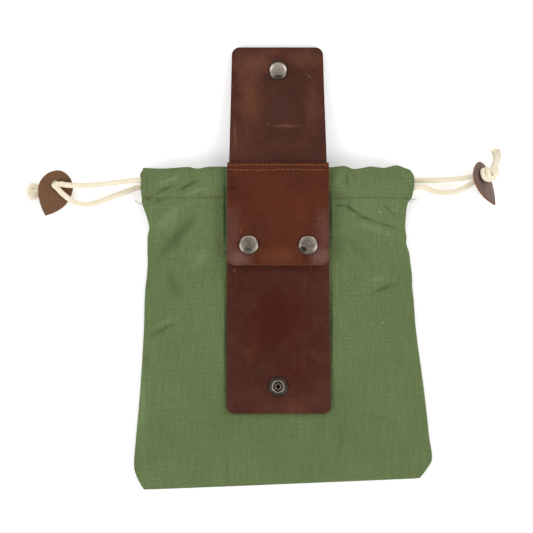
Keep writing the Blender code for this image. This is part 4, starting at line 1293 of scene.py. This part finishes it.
@dataclass
class Tail:
    """One frayed tail: its route with half widths, and how many yarns and fine fibres it holds."""

    # x, y, z, half width, half thickness
    route: Table
    yarns: int
    fibres: int
    yarn_radius: float
    fray_from: float
    spread: float
    seed: int
    # how dark the painted shade makes the yarns at the tail's root, beside the knot and toggle
    root_shade: float = 0.8
    fibre_radius: float = 0.25

    def bundle(self, draw: random.Random, start: float, end: float, wave: float, count: int) -> Points:
        """A line that keeps its place in the tail's cross-section from one share of its length to another."""
        turn, reach = draw.uniform(0, 2 * math.pi), math.sqrt(draw.random())
        a, b = math.cos(turn) * reach, math.sin(turn) * reach
        share = np.linspace(start, end, count)
        keys = np.linspace(0, 1, len(self.route))
        rows = [(key, *row) for key, row in zip(keys, self.route)]
        held = np.clip(share, 0.0, 1.0)
        centre = np.stack([through(rows, held, k) for k in (1, 2, 3)], axis=1)
        width, thick = through(rows, held, 4), through(rows, held, 5)
        ahead = np.gradient(centre, axis=0)
        ahead /= np.maximum(np.linalg.norm(ahead, axis=1, keepdims=True), 1e-9)
        beside = np.cross(np.array([0.0, 0.0, 1.0]), ahead)
        beside /= np.maximum(np.linalg.norm(beside, axis=1, keepdims=True), 1e-9)
        above = np.cross(ahead, beside)
        phase = draw.uniform(0, 2 * math.pi)
        swing = wave * np.sin(phase + share * draw.uniform(4, 9))
        line = centre + beside * (a * width + swing)[:, None] + above * (b * thick)[:, None]
        loose = np.clip((share - self.fray_from) / (1.0001 - self.fray_from), 0.0, 1.0)[:, None] ** 1.5
        fling = np.array([draw.gauss(0, 1), draw.gauss(0, 1), abs(draw.gauss(0, 0.35))]) * self.spread
        line = line + fling * loose
        line[:, 2] = np.maximum(line[:, 2], 0.25)
        return line

    def build(self, name: str, finish: bpy.types.Material) -> bpy.types.Object:
        """Builds the yarns and the finer fibres that they fray into."""
        draw = random.Random(self.seed)
        meshes, tones = [], []
        for number in range(self.yarns + self.fibres):
            yarn = number < self.yarns
            if yarn:
                start, end = 0.0, draw.uniform(0.72, 0.92)
            else:
                start, end = draw.uniform(0.0, 0.5), draw.uniform(0.86, 1.0)
            line = self.bundle(draw, start, end, 0.15 if yarn else 0.35, 13)
            sides = 6 if yarn else 4
            radius = self.yarn_radius if yarn else self.fibre_radius
            meshes.append(tube_mesh(line, radius * np.linspace(1.0, 0.6, len(line)), sides))
            # painted shade: the yarns darken towards the tail's root
            rooted = np.interp(np.linspace(start, end, len(line)), (0.0, 0.5), (self.root_shade, 1.0))
            tones.append(np.repeat(rooted * draw.uniform(0.65, 1.3), sides))
        piece = gathered(name, meshes, finish)
        set_value(piece, "braid", np.concatenate(tones))
        return piece


@dataclass
class Knots:
    """The knots that keep the toggles on, with the cords' ends through the holes and the frayed tails."""

    braid: Braid = field(default_factory=Braid)
    # cord routes of each knot, in the pouch's own axes: x, y, z
    routes: dict = field(default_factory=lambda: {
        Side.LEFT: (
            ((-165.4, 63.0, 14.2), (-167.0, 63.1, 13.8), (-168.6, 63.2, 12.8), (-169.9, 63.3, 11.0),
             (-170.5, 63.3, 8.5), (-170.9, 63.0, 6.6)),
            ((-167.0, 58.1, 12.4), (-168.7, 59.9, 12.8), (-170.6, 61.6, 12.6), (-171.6, 62.6, 11.2),
             (-171.4, 63.0, 8.8), (-171.0, 63.2, 6.6)),
            ((-170.9, 63.2, 7.2), (-168.0, 61.2, 5.2), (-168.4, 58.3, 3.6), (-172.0, 57.4, 3.0),
             (-175.3, 59.8, 3.2), (-174.2, 63.5, 4.0), (-170.4, 65.2, 4.4), (-167.6, 63.6, 4.6)),
            ((-170.9, 63.2, 7.0), (-173.6, 65.0, 5.0), (-173.6, 66.4, 3.6), (-169.8, 66.2, 2.8),
             (-167.4, 62.6, 2.7), (-169.0, 59.6, 4.8), (-172.8, 60.0, 4.4), (-175.5, 61.0, 3.2),
             (-179.0, 60.4, 2.5)),
        ),
        Side.RIGHT: (
            ((143.6, 69.6, 13.1), (145.6, 70.2, 13.2), (147.6, 70.9, 13.0), (150.0, 71.4, 12.9),
             (152.4, 71.6, 13.6)),
            ((145.6, 66.8, 9.7), (147.2, 68.6, 10.3), (149.0, 70.4, 11.2), (151.0, 71.2, 12.0),
             (153.0, 71.4, 12.4)),
            ((151.8, 71.4, 12.8), (151.2, 73.4, 14.6), (149.6, 73.0, 17.2), (149.6, 70.2, 18.6),
             (151.0, 67.7, 17.8), (153.8, 66.7, 15.6), (156.8, 67.4, 13.0), (158.0, 70.0, 11.2),
             (156.2, 72.2, 10.6)),
            ((152.0, 70.6, 11.4), (152.6, 73.6, 13.0), (153.0, 74.2, 16.6), (153.3, 71.6, 19.2),
             (154.0, 68.6, 18.4), (156.6, 68.2, 15.8), (158.9, 69.8, 15.0), (158.6, 72.2, 14.2),
             (157.6, 74.4, 13.2)),
            ((152.4, 68.8, 10.6), (156.0, 67.9, 9.4), (158.8, 69.0, 12.0), (159.7, 71.0, 14.2),
             (158.0, 72.6, 16.0), (156.2, 73.0, 14.0), (156.6, 75.0, 12.4)),
            ((155.2, 73.2, 12.6), (156.2, 72.4, 15.2), (157.8, 71.4, 16.6), (159.8, 71.8, 15.6),
             (160.4, 73.6, 13.8), (158.8, 74.6, 12.6)),
        ),
    })
    tails: dict = field(default_factory=lambda: {
        Side.LEFT: Tail(
            ((-174.5, 61.6, 3.2, 2.0, 1.6), (-178.0, 60.6, 2.8, 2.4, 1.5), (-182.5, 59.4, 2.5, 3.9, 1.3),
             (-187.0, 58.2, 2.0, 5.6, 1.1), (-193.0, 57.2, 1.4, 7.2, 0.8)),
            18, 130, 0.45, 0.4, 1.6, 11, root_shade=0.35),
        Side.RIGHT: Tail(
            ((157.4, 72.8, 14.0, 2.3, 2.0), (158.6, 76.2, 12.0, 2.6, 1.9), (160.0, 79.6, 9.6, 2.5, 1.8),
             (160.7, 83.4, 6.6, 2.8, 1.7), (160.5, 86.8, 4.4, 3.2, 1.5), (159.7, 90.0, 2.6, 4.3, 1.2)),
            26, 110, 0.55, 0.55, 1.4, 12, root_shade=1.0),
    })

    def build(self, side: Side, finish: bpy.types.Material) -> bpy.types.Object:
        """Ties one knot in place of its plain solid."""
        parts = [
            self.braid.tube(f"{side.value}_turn_{number}", route, finish, coarse=1.3)
            for number, route in enumerate(self.routes[side], start=1)
        ]
        parts.append(self.tails[side].build(f"{side.value}_tail", finish))
        return dress(joined(f"{side.value}_knot_and_tail", parts), "cotton_cord", f"{side.value}_knot")


# Studio


@dataclass
class Studio:
    """The white table, the soft lights and the camera straight above the pouch."""

    view_centre: tuple[float, float] = (-12.4, 1.5)
    view_width: float = 399.75
    lens: float = 250.0
    sensor: float = 36.0
    focus_height: float = 10.0
    # name, place in metres, size in metres, watts
    softboxes: Table = (
        ("softbox_left", (-1.5, -0.9, 1.25), 1.1, 15.0), ("softbox_right", (1.5, -0.9, 1.25), 1.1, 16.0),
        ("softbox_far_left", (-1.3, 1.3, 1.5), 1.1, 8.5), ("softbox_far_right", (1.3, 1.3, 1.5), 1.1, 9.5),
    )
    walls: float = 0.7
    ceiling: float = 0.35
    ceiling_gap: float = 0.17

    def camera(self) -> None:
        """Hangs the camera over the middle of the photo's frame."""
        data = bpy.data.cameras.new("camera")
        data.lens, data.sensor_width = self.lens, self.sensor
        data.clip_start, data.clip_end = 0.1, 20.0
        made = bpy.data.objects.new("camera", data)
        bpy.context.scene.collection.objects.link(made)
        distance = self.view_width / self.sensor * self.lens
        made.location = Vector((*self.view_centre, self.focus_height + distance)) * MM
        bpy.context.scene.camera = made

    def softbox(self, name: str, place: tuple[float, float, float], size: float, power: float) -> None:
        """Adds a square area light that points at the pouch."""
        data = bpy.data.lights.new(name, "AREA")
        data.shape, data.size, data.energy = "SQUARE", size, power
        made = bpy.data.objects.new(name, data)
        bpy.context.scene.collection.objects.link(made)
        made.location = place
        made.rotation_euler = Vector(place).to_track_quat("Z", "Y").to_euler()

    def room(self) -> None:
        """Surrounds the table with bright walls and a dimmer ceiling, darker where the camera hangs."""
        world = bpy.data.worlds.new("studio")
        bpy.context.scene.world = world
        world.use_nodes = True
        on = Graph(world.node_tree)
        way = on.add("TexCoord", out="Generated")
        ahead = on.add("MapRange", {
            "Value": on.add("SeparateXYZ", {"Vector": way}, "Y"), "From Min": -0.1, "From Max": -0.03,
            "To Min": self.ceiling_gap, "To Max": self.ceiling}, interpolation_type="SMOOTHSTEP")
        strength = on.add("MapRange", {
            "Value": on.add("SeparateXYZ", {"Vector": way}, "Z"), "From Min": 0.86, "From Max": 0.96,
            "To Min": self.walls, "To Max": ahead}, interpolation_type="SMOOTHSTEP")
        background = world.node_tree.nodes["Background"]
        on.set(background.inputs["Strength"], strength)
        on.set(background.inputs["Color"], (1.0, 1.0, 1.0, 1.0))

    def build(self) -> None:
        """Builds the table, the lights and the room."""
        deselect_all()
        bpy.ops.mesh.primitive_plane_add(size=6.0, location=(0, 0, -0.0002))
        table = bpy.context.object
        table.name = "table_top"
        table.data.materials.append(GlowingTable().material())
        for name, place, size, power in self.softboxes:
            self.softbox(name, place, size, power)
        self.room()
        bpy.context.scene.view_settings.view_transform = "Standard"


def main() -> None:
    """Builds everything in order and reports each piece."""
    logging.basicConfig(level=logging.INFO, format="%(name)s: %(message)s")
    studio = Studio()
    studio.camera()
    cotton = CottonBraid().material()
    # Canvas ovals: dark is painted shade along creases, folds and the bottom seam, light is painted light on
    # the ridges beside them and over the upper body, edge_shade is painted shadow beside the strip and loop.
    # The broad #58673f oval only makes the canvas darker towards the bottom, and the light band along the
    # left seam only makes it paler there.
    dark, light, edge_shade = "#434f2e", "#798a60", "#2b3620"
    canvas = DuckCanvas(shade_light_and_tone_marks=(
        (0.0, 44.0, 140.0, 56.0, 0.0, 0.3, light), (0.0, -125.0, 150.0, 62.0, 0.0, 0.4, "#58673f"),
        (-92.0, -46.5, 15.0, 2.6, 27.0, 0.55, dark), (-90.0, -41.0, 14.0, 3.0, 27.0, 0.35, light),
        (-88.0, 59.5, 12.0, 2.2, 24.0, 0.75, dark), (-72.0, 61.5, 13.0, 2.3, 27.0, 0.85, dark),
        (-84.0, 66.5, 13.0, 2.6, 22.0, 0.6, light), (-66.0, 57.5, 12.0, 2.0, 22.0, 0.5, light),
        (-93.5, 50.8, 7.0, 1.6, 17.0, 0.6, dark), (-79.0, 24.0, 31.0, 7.0, 48.0, 0.6, dark),
        (-82.0, -12.0, 7.0, 16.0, 20.0, 0.4, dark), (-86.0, 38.0, 18.0, 8.0, 44.0, 0.5, light),
        (-62.0, 8.0, 13.0, 9.0, 44.0, 0.4, light), (52.0, 43.8, 9.0, 1.8, -32.0, 0.85, dark),
        (62.0, 37.8, 9.0, 1.9, -20.0, 0.85, dark), (78.0, 32.4, 13.0, 1.8, -17.0, 0.7, dark),
        (42.0, 47.2, 8.0, 1.6, -4.0, 0.7, dark), (66.0, 31.0, 18.0, 3.0, -20.0, 0.45, light),
        (80.0, 43.5, 10.0, 1.6, -45.0, 0.5, dark), (47.6, 66.0, 2.2, 9.0, 4.0, 0.6, dark),
        (41.0, 65.0, 3.0, 9.0, 0.0, 0.4, light), (76.0, -14.5, 15.0, 2.8, 21.0, 0.6, dark),
        (72.0, -8.0, 13.0, 4.0, 21.0, 0.35, light), (55.0, 15.0, 16.0, 6.0, -45.0, 0.25, dark),
        (74.0, -112.0, 9.0, 1.2, 0.0, 0.4, dark),
        (-42.0, -148.0, 1.2, 38.0, 0.0, 0.35, dark), (43.0, -128.0, 4.0, 16.0, 0.0, 0.35, dark),
        (-43.6, 40.0, 2.2, 42.0, 0.0, 0.9, edge_shade), (35.6, 40.0, 2.2, 42.0, 0.0, 0.9, edge_shade),
        (-43.0, -50.0, 1.6, 66.0, 0.0, 0.8, edge_shade), (36.2, -50.0, 1.6, 66.0, 0.0, 0.8, edge_shade),
        (-107.0, -100.0, 6.0, 60.0, 3.0, 0.35, light), (0.0, -162.0, 110.0, 1.0, 1.5, 0.5, dark),
    )).material()
    edge = CutEdge().material()
    strip_hide = PullUpLeather(
        "dark brown pull-up leather", "#4c2b22", "#42241c", "#5b3324",
        patches=(
            (-1.5, 120.0, 17.0, 24.0, 0.0, 0.8, "#462921"), (-25.0, 130.0, 12.0, 30.0, 0.0, 0.85, "#603a28"),
            (-22.0, 154.0, 22.0, 14.0, 0.0, 0.95, "#613d2d"), (16.0, 158.0, 18.0, 11.0, 0.0, 0.8, "#5c392b"),
            (22.0, 122.0, 8.0, 26.0, 4.0, 0.7, "#573428"), (-6.0, 163.0, 7.0, 4.0, 0.0, 0.5, "#6a3826"),
            (-4.0, 92.0, 30.0, 9.0, 0.0, 0.6, "#4e2c25"), (3.0, 106.8, 15.0, 2.2, 0.0, 0.5, "#6a4535"),
            (-4.0, -36.0, 56.0, 66.0, 0.0, 0.95, "#40190f"), (-4.0, -4.0, 38.0, 10.0, 0.0, 0.7, "#4b261b"),
            (-26.0, -92.0, 12.0, 18.0, 0.0, 0.7, "#4c271b"), (12.0, -80.0, 26.0, 28.0, 0.0, 0.85, "#421d14"),
            (-3.7, -88.4, 12.0, 12.0, 0.0, 0.6, "#592617"),
        ),
        scratches=(
            (3.0, 106.8, 12.0, 0.6, 0.0, 0.3, "#6d4c3e"), (19.9, 144.2, 4.2, 0.45, -45.0, 0.5, "#7d5e4e"),
            (-36.4, -1.6, 1.2, 2.2, 10.0, 0.7, "#7c3d20"), (8.3, -70.0, 0.7, 10.0, 0.0, 0.35, "#5f3a2d"),
            (15.8, -70.0, 0.7, 10.0, 0.0, 0.35, "#5f3a2d"), (21.0, 0.4, 0.8, 4.0, 0.0, 0.4, "#6d3e2c"),
            (-34.9, -9.0, 0.4, 4.2, -8.0, 0.4, "#7c432a"), (-36.4, -14.6, 0.4, 2.6, -32.0, 0.4, "#7c432a"),
            (-18.0, -32.0, 0.4, 9.0, 40.0, 0.4, "#6b3a28"), (6.0, -24.0, 0.4, 10.0, -36.0, 0.4, "#6b3a28"),
            (-25.5, -82.0, 0.5, 12.0, 4.0, 0.45, "#341309"), (-21.5, -86.0, 0.45, 10.0, -3.0, 0.4, "#341309"),
            (-18.0, -80.0, 0.4, 9.0, 5.0, 0.35, "#341309"), (-36.0, 100.0, 1.6, 14.0, 2.0, 0.5, "#6a4738"),
            (-6.4, 134.8, 0.4, 0.4, 0.0, 0.5, "#a89a8c"), (-10.9, 121.5, 0.35, 0.4, 0.0, 0.5, "#a89a8c"),
            (-11.5, 108.0, 0.4, 0.35, 0.0, 0.45, "#a89a8c"), (-22.6, 91.5, 0.4, 0.4, 0.0, 0.5, "#a89a8c"),
        )).material()
    loop_hide = PullUpLeather(
        "chestnut pull-up leather", "#532818", "#492216", "#5d2e1c", 0.46,
        patches=(
            # the first four, greyish over the loop's sides and lower corners, are painted sheen where the
            # loop curves
            (-38.0, 26.0, 9.0, 30.0, 0.0, 0.8, "#5c3931"), (31.0, 26.0, 9.0, 30.0, 0.0, 0.8, "#603d34"),
            (-34.0, 8.0, 13.0, 11.0, 0.0, 0.8, "#6f4e47"), (28.0, 9.0, 13.0, 12.0, 0.0, 0.8, "#6f4e47"),
            (-4.0, 10.0, 26.0, 11.0, 0.0, 0.7, "#653722"), (-4.0, 48.0, 30.0, 18.0, 0.0, 0.5, "#552715"),
        ),
        scratches=(
            (-31.4, 28.9, 0.6, 3.8, 0.0, 0.45, "#7b4c39"), (27.8, 37.6, 5.0, 0.6, 20.0, 0.4, "#7b4c39"),
            (-37.3, 60.6, 1.4, 1.2, 0.0, 0.8, "#24100b"), (31.8, 74.1, 3.4, 0.6, -42.0, 0.8, "#1e0c08"),
        )).material()
    # The right toggle's grey-brown colours are painted sheen over its dark hide, and the patch beside the
    # knot is darker.
    sheened_toggle_hide = PullUpLeather(
        "dark toggle leather with painted sheen", "#75625a", "#68554d", "#7c675d", 0.5,
        patches=((148.4, 68.0, 3.8, 8.5, 24.0, 0.85, "#43271f"),)).material()
    flesh = FleshSide().material()
    raw_edge = CutEdge("raw toggle edge", "#a3683f", "#5a3422").material()
    loop_edge = CutEdge("raw loop edge", patches=((-3.8, 1.5, 62.0, 11.0, 0.0, 1.0, "#a8623a"),)).material()
    brown = SewingThread("olive brown thread", "#6a5c3a").material()
    pale = SewingThread("pale cotton lint", "#d8d2b8").material()
    tan = SewingThread("tan waxed thread", "#8e5530").material()
    # On each cap, rim is painted shade round its edge that dims its reflection there, face its lighter
    # middle, and the darker ovals over its lower part and the dark spot on the right loop cap are painted
    # reflections.
    rim, face = "#5e564d", "#aea395"
    plate = GunmetalPlate(tarnish_and_painted_reflections=(
        (-3.6, 148.4, 8.4, 8.4, 0.0, 1.0, rim), (-3.6, 148.7, 6.6, 6.6, 0.0, 1.0, "#b3a899"),
        (-3.6, 141.8, 7.0, 3.8, 0.0, 0.9, "#5c534a"), (-25.7, 17.8, 8.8, 8.8, 0.0, 1.0, rim),
        (-25.7, 18.0, 7.1, 7.1, 0.0, 1.0, face), (-26.2, 13.8, 3.4, 2.2, 0.0, 0.8, "#6a6157"),
        (18.7, 17.6, 8.8, 8.8, 0.0, 1.0, rim), (18.7, 17.8, 7.1, 7.1, 0.0, 1.0, face),
        (14.8, 14.4, 3.2, 2.2, -20.0, 0.95, "#3a342e"), (19.5, 12.4, 4.5, 1.6, 0.0, 0.6, "#6a6157"),
    )).material()
    worn = GunmetalPlate("blackened snap plate", "#7d7467", "#5f574d", 0.34, tarnish_and_painted_reflections=(
        (-3.7, -88.4, 8.6, 8.6, 0.0, 0.95, "#352e28"), (-3.7, -88.4, 6.7, 6.7, 0.0, 0.95, "#6d645a"),
        (-3.7, -88.4, 5.1, 5.1, 0.0, 1.0, "#b5aa9b"), (-3.7, -88.4, 3.7, 3.7, 0.0, 0.95, "#302a24"),
        (-3.7, -88.4, 2.75, 2.75, 0.0, 0.95, "#7d7467"), (-3.7, -88.4, 1.6, 1.6, 0.0, 1.0, "#1a1713"),
    )).material()
    bag, cords, toggles, knots, work = Bag(), Drawstrings(), Toggles(), Knots(), LeatherWork()
    made = cords.build(bag, cotton)
    back, _ = bag.build(canvas)
    _, loop = work.build((strip_hide, edge), (loop_hide, loop_edge))
    ends = {
        side.value: [toggles.build(side, finishes), knots.build(side, cotton)]
        for side, finishes in ((Side.LEFT, (flesh, edge)), (Side.RIGHT, (sheened_toggle_hide, raw_edge)))
    }
    cords.declare(made, ends)
    Snaps(work).build(plate, worn)
    Stitching().build(back, loop, brown, tan, pale)
    studio.build()


if __name__ == "__main__":
    main()
